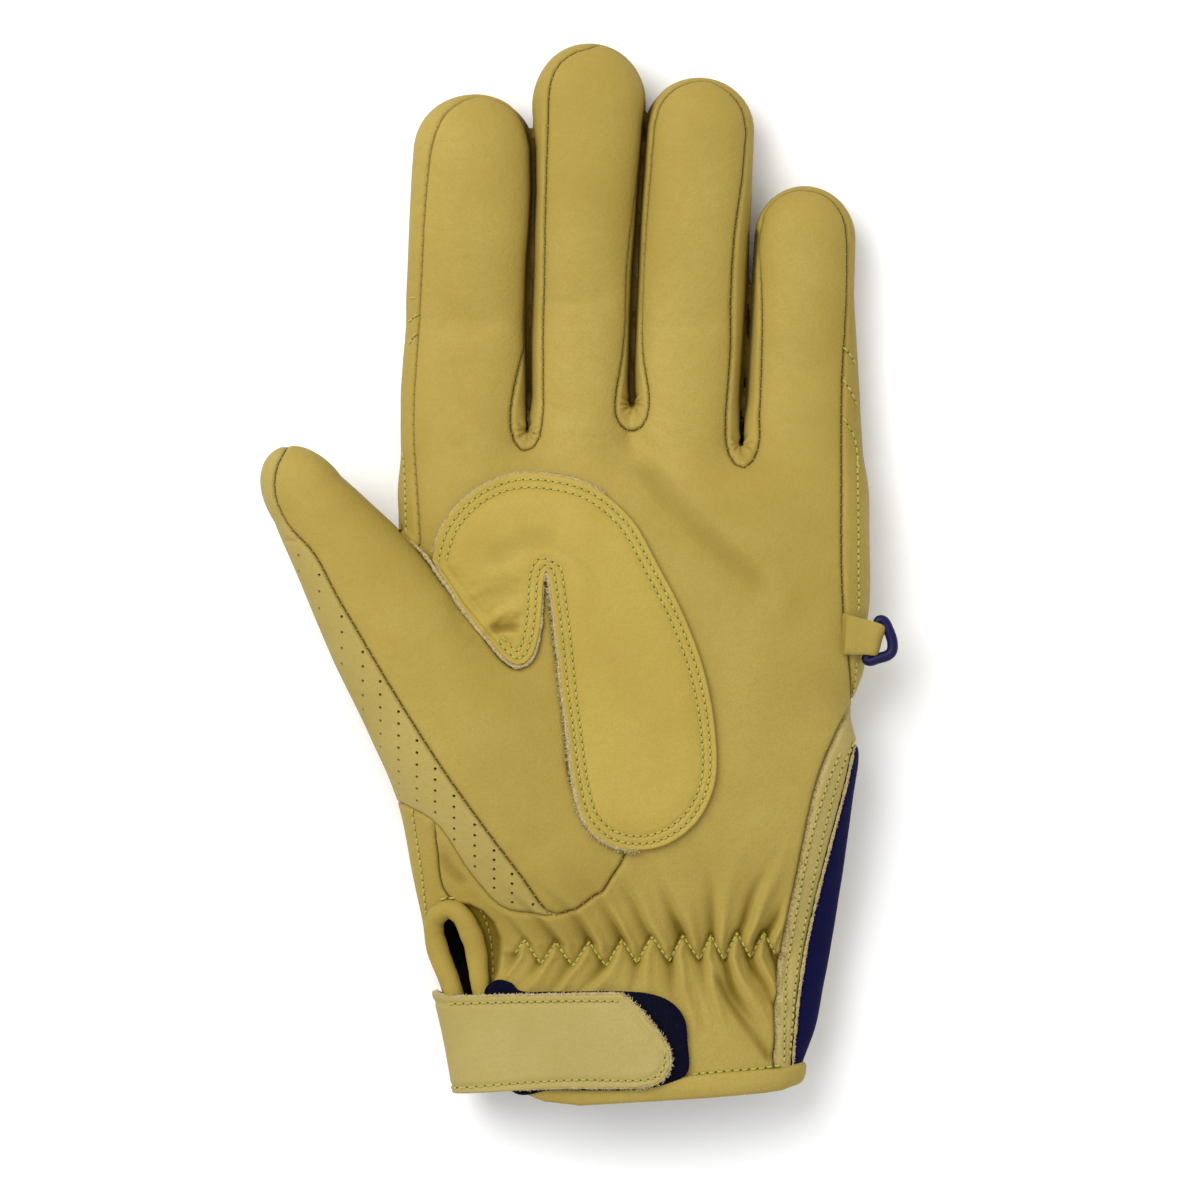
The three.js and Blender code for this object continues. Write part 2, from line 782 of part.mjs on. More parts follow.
function makePanels() {
  let rest = shell();
  PANELS.forEach((panel) => {
    const made = rest.intersect(panel.region(0));
    rest = rest.subtract(panel.region(GAP));
    const pierced = panel.name === "thumb_back" ? made.subtract(perforations()) : made;
    keep(panel.name, panel.finish, pierced);
  });
  keep("back_panel", FINISH.leather, rest);
}

// A sheet lying on the hand over an outline in plan.
function layer(outline, low, thick, from = FLOOR) {
  return handBody(low + thick)
    .intersect(prism(outline, from))
    .subtract(handBody(low));
}

function makeLayers() {
  keep("palm_patch", FINISH.leatherPale, layer(PATCH_EDGE, GAP, PATCH_THICK, THUMB_SEAM_Z));
  const hemEdge = MOUTH_EDGE.map((p) => ({ x: p.x, y: p.y + HEM_WIDTH })).reverse();
  const hem = layer([...MOUTH_EDGE, ...hemEdge], GAP, HEM_THICK).subtract(vent);
  keep("cuff_hem", FINISH.leather, hem);
  const hemSpace = prism(grown([...MOUTH_EDGE, ...hemEdge], GAP));
  const loop = layer(LOOP_EDGE, GAP, LOOP_THICK, VENT_LOW_Z).subtract(hemSpace).subtract(vent);
  keep("loop_patch", FINISH.navyFabric, loop);
  const rootThick = STRAP_LIFT + LEATHER - GAP;
  const root = layer(STRAP_ROOT.edge, GAP, rootThick, STRAP_ROOT.low).subtract(
    everywhereAbove(STRAP_ROOT.high),
  );
  const band = layer(STRAP_EDGE, STRAP_LIFT, LEATHER, STRAP_ROOT.low);
  keep("wrist_strap", FINISH.leatherPale, band.add(root));
}

// Height of the cuff's outside above a place in plan.
function cuffTop(x, y) {
  const after = PALM_SECTIONS.findIndex((s) => s.y > y);
  const a = PALM_SECTIONS[after - 1];
  const b = PALM_SECTIONS[after];
  const t = (y - a.y) / (b.y - a.y);
  const mix = (key) => THREE.MathUtils.lerp(a[key], b[key], t);
  const middle = (mix("left") + mix("right")) / 2;
  const half = (mix("right") - mix("left")) / 2;
  const s = Math.min(Math.abs(x - middle) / half, 1);
  const up = Math.pow(1 - Math.pow(s, PALM_POWER), 1 / PALM_POWER);
  return (mix("low") + mix("high")) / 2 + ((mix("high") - mix("low")) / 2) * up;
}

function makeBinding() {
  const section = new THREE.Shape().absarc(0, 0, BINDING_RADIUS, 0, 2 * Math.PI);
  const tube = new THREE.ExtrudeGeometry(section, {
    steps: BINDING_STEPS,
    curveSegments: 4,
    bevelEnabled: false,
    extrudePath: ventCurve,
  });
  keep("vent_binding", FINISH.leatherPale, solid(tube));
}

// A closed wire of round section along a flat loop of points.
function closedWire(points, radius, sides) {
  const positions = [];
  const indices = [];
  const count = points.length;
  points.forEach((p, i) => {
    const before = points[(i + count - 1) % count];
    const after = points[(i + 1) % count];
    const out = new THREE.Vector2(after.y - before.y, before.x - after.x).normalize();
    for (let k = 0; k < sides; k += 1) {
      const angle = (2 * Math.PI * k) / sides;
      const reach = radius * Math.cos(angle);
      positions.push(p.x + out.x * reach, p.y + out.y * reach, radius * Math.sin(angle));
      const a = i * sides + k;
      const b = i * sides + ((k + 1) % sides);
      const c = ((i + 1) % count) * sides + k;
      const d = ((i + 1) % count) * sides + ((k + 1) % sides);
      indices.push(a, d, b, a, c, d);
    }
  });
  const geometry = new THREE.BufferGeometry();
  geometry.setAttribute("position", new THREE.Float32BufferAttribute(positions, 3));
  geometry.setIndex(indices);
  return geometry;
}

function ringLoop() {
  const { bar, shoulder, reach, blunt, apexShift, corner, bend, bendUpper, bendLower } = RING;
  const loop = new THREE.Path();
  loop.moveTo(0, -bar);
  loop.lineTo(0, bar);
  loop.quadraticCurveTo(0, shoulder, corner, shoulder);
  loop.quadraticCurveTo(2 * corner, shoulder, bend, bendUpper);
  loop.lineTo(reach - corner, apexShift + corner);
  loop.quadraticCurveTo(reach + blunt, apexShift, reach - corner, apexShift - corner);
  loop.lineTo(bend, -bendLower);
  loop.quadraticCurveTo(2 * corner, -shoulder, corner, -shoulder);
  loop.quadraticCurveTo(0, -shoulder, 0, -bar);
  const points = loop.getPoints(3);
  return points.filter((p, i) => i === 0 || p.distanceTo(points[i - 1]) > WELD).slice(0, -1);
}

const ringFrame = new THREE.Matrix4()
  .makeTranslation(RING.x, RING.y, RING.z)
  .multiply(new THREE.Matrix4().makeRotationZ(RING.turn));

function makeRingAndTab() {
  const wire = closedWire(ringLoop(), RING.wire, RING.sides).applyMatrix4(ringFrame);
  keep("side_ring", FINISH.navyHard, solid(wire));

  const eye = TAB.tunnel + TAB.wall;
  const rise = TAB.tail * TAB.slope;
  const tail = new THREE.Vector2(-TAB.tail, rise);
  const side = new THREE.Vector2(TAB.slope, 1).normalize();
  const start = Math.atan2(-side.y, -side.x);
  const outline = new THREE.Shape();
  outline.moveTo(tail.x - side.x * TAB.wall, tail.y - side.y * TAB.wall);
  outline.absarc(0, 0, eye, start, start + Math.PI, false);
  outline.lineTo(tail.x + side.x * TAB.wall, tail.y + side.y * TAB.wall);
  outline.holes.push(new THREE.Path().absarc(0, 0, TAB.tunnel, 0, 2 * Math.PI, true));
  const block = new THREE.ExtrudeGeometry(outline, {
    depth: 2 * TAB.halfLength,
    curveSegments: TAB.facets,
    bevelEnabled: false,
  });
  block.translate(0, 0, -TAB.halfLength).rotateX(Math.PI / 2).applyMatrix4(ringFrame);
  keep("ring_tab", FINISH.leather, solid(block).subtract(handBody(GAP)));
}

makePanels();
makeLayers();
makeBinding();
makeRingAndTab();

const glove = new THREE.Group();
glove.name = "motorcycle_glove";
pieces.forEach(({ name, finish, made }) => {
  const mesh = new THREE.Mesh(geometryOf(made), new THREE.MeshStandardMaterial(finish));
  mesh.name = name;
  glove.add(mesh);
});

export default glove;
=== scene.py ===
import math

import bpy
import numpy as np
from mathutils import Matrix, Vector
from mathutils.kdtree import KDTree


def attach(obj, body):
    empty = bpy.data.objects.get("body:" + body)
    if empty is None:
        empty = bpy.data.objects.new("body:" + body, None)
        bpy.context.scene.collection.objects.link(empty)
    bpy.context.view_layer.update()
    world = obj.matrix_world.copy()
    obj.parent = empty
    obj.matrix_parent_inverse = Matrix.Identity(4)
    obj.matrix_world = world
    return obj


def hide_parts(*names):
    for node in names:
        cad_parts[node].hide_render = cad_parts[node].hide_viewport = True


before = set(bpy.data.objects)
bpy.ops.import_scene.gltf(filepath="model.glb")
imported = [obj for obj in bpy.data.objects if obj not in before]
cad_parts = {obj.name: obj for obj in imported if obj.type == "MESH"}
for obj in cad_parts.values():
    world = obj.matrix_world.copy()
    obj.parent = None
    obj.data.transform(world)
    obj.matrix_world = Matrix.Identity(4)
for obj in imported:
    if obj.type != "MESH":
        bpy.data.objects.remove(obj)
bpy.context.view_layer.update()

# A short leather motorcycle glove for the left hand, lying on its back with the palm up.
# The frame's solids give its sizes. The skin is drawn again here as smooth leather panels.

# Sizes in millimetres, in the frame's own axes
MM = 0.001
LEATHER = 1.6
GAP = 0.3
STEP = 0.8  # of the grid that the skin is drawn on
NET_LOW = (-78, -124, -1.6)
NET_HIGH = (72, 126, 37)
ABOVE_Z = 45.0
SLOPE_REACH = 0.05  # for finding which way the skin faces
FLOOR_Z = 0.02  # the lowest that anything lies
UP = (0.0, 0.0, 1.0)
FINGER_SEAM_Z = 12.5
FOURCHETTE_LOW_Z = 6.5
# Left, right, lower and upper limit in plan of the strips between the fingers
FOURCHETTES = {
    "fourchette_index_middle": (-25, 2, 27, 100),
    "fourchette_middle_ring": (3, 26, 31.5, 103),
    "fourchette_ring_little": (27, 51, 23, 79),
}
THUMB_SEAM_Z = 19
STRIP_LOW_Z = 17
SIDE_SEAM_Z = 9
VENT_LOW_Z = 13.4
PATCH_THICK = 1.4
LOOP_THICK = 1.4
STRAP_LIFT = LOOP_THICK + 2 * GAP
STITCH = {"pitch": 1.7, "length": 1.25, "radius": 0.27}
GATHER_STITCH = {"pitch": 1.42, "length": 1.2, "radius": 0.31}
HEM_STITCH = {"pitch": 1.9, "length": 1.45, "radius": 0.3}
SEAM_PITCH = 2.3
PATCH_ROWS = (1.5, 3.2)
STRAP_ROW = 1.7
SEAM_SHADE_WIDTH = 0.42
PLACKET_SINK = 0.8  # of the raw strip beside the palm's edge
INNER_WALL = 1.5
WEB_THINNING = 0.85  # of that wall in the narrow webs between the fingers
PANEL_LIMIT = 150000
SEAM_REACH = 9.0
EDGE_REACH = 12.0
# Distances from a seam or a layer's edge at which the mesh has lines beside it
SEAM_LINES = (0.3, 0.8, 1.6)
LAYER_LINES = (0.2, 0.55, 1.1)
FINE_EDGE = 0.55  # the longest edge in finely drawn areas
FINE_LOW_Z = 12
SIDE_Z = 12.5  # of the glove's sides, where it is widest
SHARP_ANGLE = math.radians(60)
# Corners of the areas in plan that are drawn with more triangles
FINE_ZONES = (
    ((-32, -104), (49, -70)), ((-27, -22), (-8, 2)),
    ((-16, 27.5), (-8.5, 38)), ((8.5, 32), (16, 44)), ((33.6, 23.5), (41.2, 35)),
)
HOLE_RADIUS = 0.37
HOLE_REACH = 3.0
HOLE_EDGES = (0.6, 0.3)  # the longest edges round a hole, in two rounds
HOLE_MARGIN = 1.2
HOLE_LOW_Z = 12
# Columns of perforations that hang from the thumb's seam: x and the pitch in y
HOLE_COLUMNS = (
    (-10.7, 2.2), (-15.5, 2.2), (-19.6, 2.15), (-24, 2.4), (-28.7, 2.5), (-33, 2.5),
    (-37.2, 2.75), (-41.4, 2.75), (-45.6, 3), (-49.6, 3.3), (-54.4, 3.6), (-59.6, 3.8),
    (-64.4, 3.6),
)

# Sections of the palm and fingers: y, left, right, low and high
PALM = np.array([
    (-130, -24.5, 46.4, 3.6, 23.3),
    (-113, -27.4, 51, 1.4, 24.6),
    (-105, -29.2, 54.2, 0.4, 24.8),
    (-94.6, -32.4, 56.3, -0.6, 24.4),
    (-87, -35.6, 57.7, -1, 23.2),
    (-81, -36.4, 58.7, -1, 24.6),
    (-66, -39.3, 61, -1, 28.2),
    (-50, -40.6, 63.2, -1, 29.7),
    (-42, -40.6, 64.1, -1, 30),
    (-32, -40.6, 62.2, -1, 30.4),
    (-20, -40.6, 66, -1, 30.6),
    (-4, -40.8, 66.6, -1, 30),
    (12, -41.6, 66, -1, 28),
    (22, -41.2, 64.9, -0.8, 24.4),
    (31, -37, 60.4, 3, 16.5),
])
PALM_POWER = 2.5
PALM_END = 40
FINGERS = {
    "index": (110.6, np.array([
        (8, -39, -11.5, -0.5, 26),
        (24, -41, -12, -0.8, 23),
        (40, -41.4, -11.6, -0.6, 20.6),
        (56, -40.4, -11.6, -0.4, 19),
        (70, -39.9, -11, -0.2, 19.8),
        (97, -38.6, -10.3, 0.8, 19.4),
    ])),
    "middle": (122.1, np.array([
        (8, -9, 13, -0.5, 26.4),
        (24, -11.8, 12, -0.8, 23.2),
        (42, -11.8, 12, -0.6, 20.6),
        (60, -11.7, 12.6, -0.4, 19),
        (78, -11.2, 13.6, 0, 20),
        (108, -11.1, 15.3, 1.4, 20),
    ])),
    "ring": (114.3, np.array([
        (6, 15, 38, -0.5, 26),
        (24, 11.6, 37.2, -0.8, 23),
        (44, 11.7, 38, -0.6, 20.2),
        (60, 12.3, 38.8, -0.4, 19),
        (76, 12.9, 39.2, 0, 19.8),
        (102, 14.7, 40.2, 1.2, 19.4),
    ])),
    "little": (89.2, np.array([
        (0, 40.5, 64.5, -0.5, 25),
        (18, 37.6, 65.4, -0.8, 22.6),
        (36, 37.7, 64.9, -0.6, 19.6),
        (50, 38.4, 63.8, -0.3, 18.4),
        (58, 39, 63.4, -0.1, 18.8),
        (77, 40.2, 63.5, 0.6, 18.4),
    ])),
}
FINGER_POWER = 2.2
FINGER_ROOT = 14
THUMB = np.array([
    (17, -17.4, 17.6, 7, 30.6),
    (35, -18.6, 18.6, 6, 33.6),
    (55, -18.9, 18.3, 6.5, 34),
    (70, -16.6, 17.6, 7.5, 33.4),
    (84, -14.2, 16.4, 8.5, 32.4),
    (97, -11.4, 14, 9.5, 31),
    (113, -8, 10.4, 11.5, 29),
])
THUMB_POWER = 2.3
THUMB_FOOT = np.array((1.2, -76.3))
THUMB_LEAN = math.radians(34.9)
THUMB_ENDS = (0, 126.4)
# How softly the parts run into each other, the thumb by y
FINGER_BLEND = 3.5
THUMB_BLEND = ((-32, -4), (9, 1.6))
FLOOR_BLEND = 2

# Narrow clefts between the fingers, from the dark end at the palm outwards
CLEFTS = (
    ((-12.2, 32.6), (-11.8, 42), (-12, 55), (-11.6, 73), (-10.6, 88), (-10.9, 98),
     (-12.2, 104), (-14.5, 109)),
    ((12, 39), (11.8, 46), (12.1, 58), (12.8, 72), (13.6, 86), (15, 103),
     (16.2, 109), (18.6, 115)),
    ((37.1, 29.6), (37.6, 42), (38.6, 56), (39.3, 70), (40, 78)),
)
CLEFT_RADIUS = 0.35
CLEFT_FILLET = 2.2
CLEFT_LOW_Z = 10.6

# Seams and edges seen from above
FAR = 160
SEAM = {
    "cuff_left": ((-22.3, -FAR), (-22.3, -117), (-26, -95), (-28.4, -77), (-31.7, -72.5),
                  (-33.6, -58)),
    "index_outer": ((-36.6, -8), (-37, 6), (-38.6, 36), (-37.2, 62), (-35.4, 90), (-34.2, 99),
                    (-31.6, 105.4), (-28.1, 108.6), (-23, 110.4), (-17, 111),
                    (-12.6, 108.6), (-11.4, 104.5)),
    "index_middle": ((-10.9, 100), (-10.8, 88), (-11.7, 73), (-12.1, 56), (-13.4, 49),
                     (-15, 42), (-15.7, 36), (-14.9, 30.6), (-12.5, 28.2), (-10.1, 30.2),
                     (-9, 36), (-8.8, 60), (-8.2, 85), (-7.7, 104)),
    "middle_tip": ((-7.6, 108.5), (-7, 113.4), (-4.8, 117.6), (-0.7, 120.3), (3, 121.3),
                   (9, 124.5), (17.5, 118)),
    "middle_ring": ((15, 108), (14.1, 98), (12.6, 85.6), (11.3, 71.6), (10.7, 57.6),
                    (9.8, 48), (8.5, 39.4), (9.2, 35), (12, 32.5), (14.7, 35), (15.6, 39.4),
                    (14.2, 50), (13.9, 62), (15, 81), (16.4, 97.4)),
    "ring_tip": ((16.9, 103), (18, 107.4), (20.4, 110.7), (24.1, 112.9), (29.2, 113.7),
                 (34.6, 110.9), (37.6, 106.6), (38.6, 101.5)),
    "ring_little": ((37.6, 90), (35.8, 76), (35, 62), (35.1, 53), (34, 36), (34, 30),
                    (34.9, 26.4), (37.3, 24.3), (39.9, 26.4), (41, 31), (40.9, 36),
                    (41.5, 57), (41.3, 67), (40.8, 76)),
    "little_outer": ((42.4, 84.4), (46, 87.6), (51, 88.4), (57, 86.8), (60.6, 82.4),
                     (61.7, 76.6), (60.4, 36), (60.6, -8), (62, -20)),
    "placket_inner": ((62.4, -25), (62.3, -29.6), (61.4, -32), (59.5, -35.6), (54.5, -47.4),
                      (49.5, -70.8), (45.4, -92.9), (45.4, -FAR)),
    "placket_outer": ((48.8, -FAR), (48.8, -114.5), (51.5, -89.2), (55.2, -71.5),
                      (61.4, -47.4), (63, -39.3)),
    "thumb_inner": ((9.4, -66.6), (10.4, -63.4), (3.4, -56), (-1.4, -48.8), (-3.2, -33.8),
                    (-6.4, -10), (-8, 3), (-8.6, 3), (-9.1, -7), (-9.8, -14), (-12.2, -20),
                    (-14.3, -21.6), (-16.6, -20.7), (-25.3, -9), (-34, 2.5), (-41.4, 9.9),
                    (-46, 20), (-62, 36)),
    "thumb_outer": ((-66.9, 29.7), (-69.6, 24.2), (-70, 17.6), (-67, 10.8), (-61.2, 4.6),
                    (-55.2, -6.2), (-33.4, -41.9), (-13.8, -69), (-6.2, -78.2), (0, -76.4),
                    (5.6, -72.6)),
    "strip_lower": ((-6.2, -78.4), (-13.8, -78), (-18.4, -76.4), (-25.3, -69),
                    (-33.1, -57.5), (-40.7, -53.1)),
}
PATCH_EDGE = (
    (-33.4, 0.8), (-32.8, 5.6), (-31, 10.6), (-27, 16), (-21.5, 20), (-14.3, 22.1),
    (-6.6, 21.9), (0.9, 20.2), (6.8, 16.8), (12.6, 11), (17.9, 1.6), (23.5, -9.3),
    (28.3, -22.3), (30.8, -36.1), (30.8, -47.6), (26.9, -56.4), (20, -61.8), (12.7, -63.2),
    (6, -61.7), (1, -57), (-1.6, -48.8), (-3.4, -33.8), (-5.4, -14), (-7, -1.8),
    (-7.5, 0.4), (-8.1, -1.6), (-8.6, -9), (-9.3, -14.4), (-10.6, -18.6), (-12.2, -20.5),
    (-14.5, -21.3), (-16.8, -20.2), (-21.9, -14.5), (-27, -8.4), (-31.6, -2),
)
STRAP_EDGE = (
    (-60, -90.4), (-34, -93.2), (-31.6, -96.2), (-28, -97), (9.7, -96.5), (13, -99.4),
    (17.6, -104.8), (20.2, -108.8), (20.6, -112.4), (19.3, -115.1), (17.2, -116.6),
    (13, -117.5), (-4.6, -117.5), (-28.5, -119.4), (-60, -121),
)
LOOP_EDGE = (
    (-22, -96), (-21, -94.6), (-18.6, -93.3), (-15.6, -94), (-14, -95.6), (-6, -95.9),
    (8.3, -95.8), (16.1, -96.4), (20.9, -98.3), (23.9, -102), (24.6, -107.3), (24.5, -114.4),
    (20, -116.8), (14, -118.1), (-6, -118.4), (-15, -118.8),
)
MOUTH_TRIM = 0.8
MOUTH = np.array([
    (-FAR, -117.2), (-15.4, -118.2), (-8.1, -121), (0, -121.9), (27.6, -120.3),
    (46, -118.9), (52, -117.1), (FAR, -117.1),
])
VENT_PATH = (
    (-24.4, -117), (-26.2, -105), (-29, -96), (-31.8, -89), (-33.6, -82), (-32.9, -78.9),
    (-29.9, -77.1), (-27.1, -78.7), (-25.3, -82), (-24, -86), (-23.3, -91), (-21.8, -104),
    (-20.2, -117),
)
# Half width of the rolled binding along that path, which is flat below the strap
VENT_WIDTH = (1.4, 1.5, 2.2, 2.45, 2.35, 2.25, 2.25, 2.4, 2.6, 2.5, 2.3, 1.7, 1.4)
VENT_SHOWN_Y = (-101, -97)
VENT_FLAT = 0.5
VENT_TALL = 0.85  # of its half width, where it shows
VENT_SIDES = 28
# The sunk strip between the roll and the edge of the palm's leather
RECESS = np.array((
    (-30, -75.6), (-25.4, -75.9), (-22.1, -77.5), (-19.5, -80.2), (-17.9, -84.1),
    (-17.9, -87), (-18.5, -91.2), (-20, -95), (-24, -97), (-24, -86), (-27, -80),
))
RECESS_DEPTH = 1.8
# The hem's middle behind the cuff's edge, and its half width by x
HEM_MIDDLE = 1.9
HEM_HALF = ((42, 52), (2.8, 2.2))

# Stitches that gather the wrist: their upper and lower turns from the thumb's side on
ZIGZAG = np.array([
    (-15, -87.4), (-12.7, -84.4), (-9, -89.5), (-5.5, -85.1), (-1.6, -89.9), (2.1, -84.9),
    (6, -89.9), (9.7, -84.4), (13.1, -89.2), (16.6, -83.5), (20.5, -88.8), (23.7, -83.5),
    (27.4, -88.5), (30.1, -83.5), (33.1, -88.5), (36.1, -82.8), (39.3, -88.1),
    (42.3, -82.8), (45.1, -87.6),
])
GATHER_DEPTH = 2.3
ZIGZAG_MIDDLE = -86.6
# How the folds lean away from the zigzag above and below it, and how far they reach, by x
LEAN_UP = ((-12, 4, 22, 33, 45), (-0.9, -0.55, -0.4, 0.1, 0.45))
LEAN_DOWN = ((-12, 6, 14, 24, 34, 42), (-0.75, -0.65, -0.05, 0.2, 0.25, 0.5))
REACH_UP = ((0, 18, 34), (10, 12.5, 15))
REACH_DOWN = ((-10, 20, 34), (9, 11, 17))

# Creases: their way in plan, depth (a ridge where it is below zero) and half width
CREASES = (
    (((9, 31), (14, 26), (20.7, 17.5), (26, 11.5), (33, 5), (42, -3), (48, -8)), 1.4, 4.6),
    (((-31, -5), (-26, -7), (-19, -4), (-12.5, -1.5), (-8, 2)), 1, 4.5),
    (((-29, 2), (-20, 4), (-10, 8), (2, 6)), 0.9, 4.6),
    (((-17, 12), (-20, 4), (-20, -4), (-18, -13)), 0.4, 5.5),
    (((52.5, 22), (54.5, 8), (52.5, -8), (50, -22)), 0.35, 5),
    (((-22, -14.2), (-20.4, -13.1), (-16, -12.2), (-12, -12.4)), 1.1, 1.5),
    (((-20.6, -13.6), (-16.5, -10.9), (-12.4, -10.2)), 0.7, 0.8),
    (((-20, -13.8), (-16.6, -13), (-12.6, -13.4)), 0.6, 0.7),
    (((-19, -15), (-16.6, -16), (-14, -16.6)), 0.45, 0.7),
    (((-21.6, -11), (-19.4, -7.6), (-15, -6.2)), 0.5, 0.9),
    (((-26, -7.4), (-20, -4.8), (-13.4, -5.4)), 0.35, 0.8),
    (((-26.4, -4.4), (-19, -2), (-12.4, -2.6)), 0.3, 1),
    (((-69, 8.4), (-66.5, 7.4), (-64.4, 7)), 0.4, 0.5),
    (((-9, 7), (-3, 4.6), (3, -0.6), (6.4, -8)), 0.4, 1.8),
    (((-8.7, 38.6), (-4, 37.8), (0, 37.4)), 0.28, 0.7),
    (((-3.2, 31.4), (2, 30.6), (7, 31.6)), 0.28, 0.7),
    (((16, 34.5), (22, 32), (27.6, 31)), 0.32, 0.8),
    (((-29, 30), (-24, 29)), 0.3, 1.2),
    (((-36, 61), (-27, 58), (-15, 58)), 0.55, 3),
    (((-6, 64), (3, 62.5), (11, 64)), 0.45, 3),
    (((17, 60), (26, 57), (34, 59)), 0.55, 3.2),
    (((-34, 56.4), (-27, 57.4), (-16, 57)), 0.14, 0.6),
    (((-8, 62.4), (0, 61.4), (6, 62.2)), 0.18, 0.7),
    (((18, 57.6), (24, 55.8), (32, 56.4)), 0.2, 0.7),
    (((43, 48), (52, 46), (60, 48)), 0.35, 3),
    (((31, -90), (34.5, -98), (40, -106), (45, -113.5)), 0.9, 1.5),
    (((26, -92), (27.5, -100), (29, -108)), 0.45, 1.2),
    (((38.5, -90), (42, -96), (44.5, -100)), 0.5, 1.3),
    (((-33, -62), (-30, -68), (-24.5, -73)), 0.7, 1.8),
    (((-10, -70), (0, -81), (14, -80), (30, -76)), -0.4, 4),
)
# A wide crease gets less painted shade than a narrow one
WIDE_CREASE = 3
WIDE_SHADE = 0.46
NARROW_SHADE = 0.8
NOISE_SEED = 7
NOISE_CELLS = 32
# Where the turned ring lies against the hand's side, and how far it presses the leather in
RING_REST = (67.5, -15, 15.5)
RING_DENT = 1.3
RING_DENT_REACH = 5.5
# The crumpled leather at the foot of the thumb
CRUMPLE = np.array([(-24, -12), (-13, -6)])

# Rows of stitches and raw edges in plan
STRAP_ROWS = (
    ((-28.8, -98.5), (-20, -98.3), (0, -98), (9.2, -98.1)),
    ((19.2, -109), (19.3, -112), (18, -114.6), (15, -115.7), (0, -115.7), (-14, -116.6),
     (-29, -118.2)),
)
PLACKET_ROWS = (
    ((59.8, -41), (57, -47.6), (53, -60.6), (49.7, -78), (47.6, -92), (46.8, -112.6)),
    ((63, -38.6), (59.7, -46), (55.4, -62), (52, -79), (49.8, -92), (48.2, -111)),
)
HEM_ROW = ((25.4, -114.8), (33, -114.2), (41, -113.6), (46.4, -113))
SIDE_ROWS = (
    ((-40.6, 28), (-39.8, 9)),
    ((-38.4, -54), (-37.6, -60), (-36.4, -69), (-35.4, -79)),
    ((63.6, 26), (63.8, 8), (63.9, -9)),
    ((63.5, -20.2), (62.6, -28)),
    ((-39.8, 63.3), (-37.3, 63.5)),
    ((-39.8, 57.7), (-37.5, 59.6)),
    ((-39.8, 52.4), (-37.7, 55.4)),
    ((60.5, 52), (62.2, 50), (63.4, 47.8)),
    ((60.5, 44.6), (62.4, 41.6), (64, 38)),
    ((60.5, 35.7), (63, 31.3), (63.9, 23.7)),
)
VENT_ROW = ((-32.4, -75), (-30.6, -74.6), (-28.4, -74.5))
VENT_SEAM_ROW = ((-23.4, -77.4), (-21.2, -82.8), (-20.4, -88), (-20.4, -93.4))
# The raw edge of the patch along the thumb and round its tip
THUMB_SIDE_EDGE = (
    (-39.3, 6.8), (-35.7, 3.2), (-31.9, -2), (-27, -8.6), (-21.9, -14.8), (-16.8, -20.6),
    (-14.5, -21.7), (-12, -20.8), (-10.4, -18.8), (-9.2, -14.4), (-8.7, -9), (-8.4, 0),
)
# How wide the raw strip between the palm's edge and the placket shows, by y
RAW_STRIP = np.array((
    (-112, 0.5), (-98, 1.2), (-88, 1.8), (-76, 1.2), (-60, 0.9), (-34, 0.6), (-28, 0),
))
# Raw edges of the strap, with how far their fibres reach
STRAP_FRINGES = (
    (((-29.5, -97), (9.7, -96.4)), 0.6),
    (STRAP_EDGE[4:12], 0.9),
    (((13, -117.5), (-4.6, -117.5), (-14, -118)), 0.6),
)

FIBRE_DROP = 0.45  # of the fibres below a layer's face

# The ring's wire in its own plane: across, along its straight bar, and half thickness
RING = {"middle": (67, -15, 22.2), "turn": math.radians(-17.2)}
RING_LOOP = (
    (0, -4.1, 1), (0, 0, 1), (0, 3.6, 1), (0.3, 4.5, 1.1), (1.3, 4.6, 1.2),
    (3.3, 2.6, 1.25), (4.7, 0.5, 1.25), (5.15, -1.5, 1.25), (4.6, -2.6, 1.25), (2.6, -4, 1.25),
    (1, -5.1, 1.2), (0.1, -5, 1.1),
)
TAB = {
    "half": 3.9, "wall": 1.15, "tail": 6.5, "slope": 0.41, "tunnel": 1.25, "taper": 0.028,
    "skew": 0.31, "sag": 0.15, "gap": 0.08,
}

# The picture is square, 1200 pixels of 0.23 mm, seen from straight above
PICTURE_WIDTH = 1200 * 0.23 * MM
PICTURE_MIDDLE = (4.6 * MM, -6.2 * MM)
PICTURE_HEIGHT = 16 * MM
LENS = 250
SENSOR = 36
FLOOR_HALF = 3.0
WORLD_STRENGTH = 0.65
# Place, width and strength of each lamp, in metres and watts
LIGHTS = {
    "key_light": ((-0.5, 0.48, 1.0), 0.9, 14.5),
    "fill_light": ((0.5, -0.4, 1.0), 1.0, 2.5),
}


def curve_value(knots, values, at):
    """Values of a smooth curve through the knots, held level past its ends."""
    slope = np.gradient(values, knots)
    i = np.clip(np.searchsorted(knots, at) - 1, 0, len(knots) - 2)
    h = (knots[1:] - knots[:-1])[i]
    t = np.clip((at - knots[i]) / h, 0, 1)
    rise = 3 * t ** 2 - 2 * t ** 3
    leave = (t ** 3 - 2 * t ** 2 + t) * h
    arrive = (t ** 3 - t ** 2) * h
    return (1 - rise) * values[i] + rise * values[i + 1] + leave * slope[i] + arrive * slope[i + 1]


def lengths_of(line):
    """Distance along a line to each of its points."""
    return np.concatenate([[0], np.cumsum(np.linalg.norm(np.diff(line, axis=0), axis=1))])


def places_on(line, length, at):
    """Places at distances along a line."""
    return np.stack([np.interp(at, length, column) for column in line.T], -1)


def unit(ways):
    return ways / (np.linalg.norm(ways, axis=-1, keepdims=True) + 1e-9)


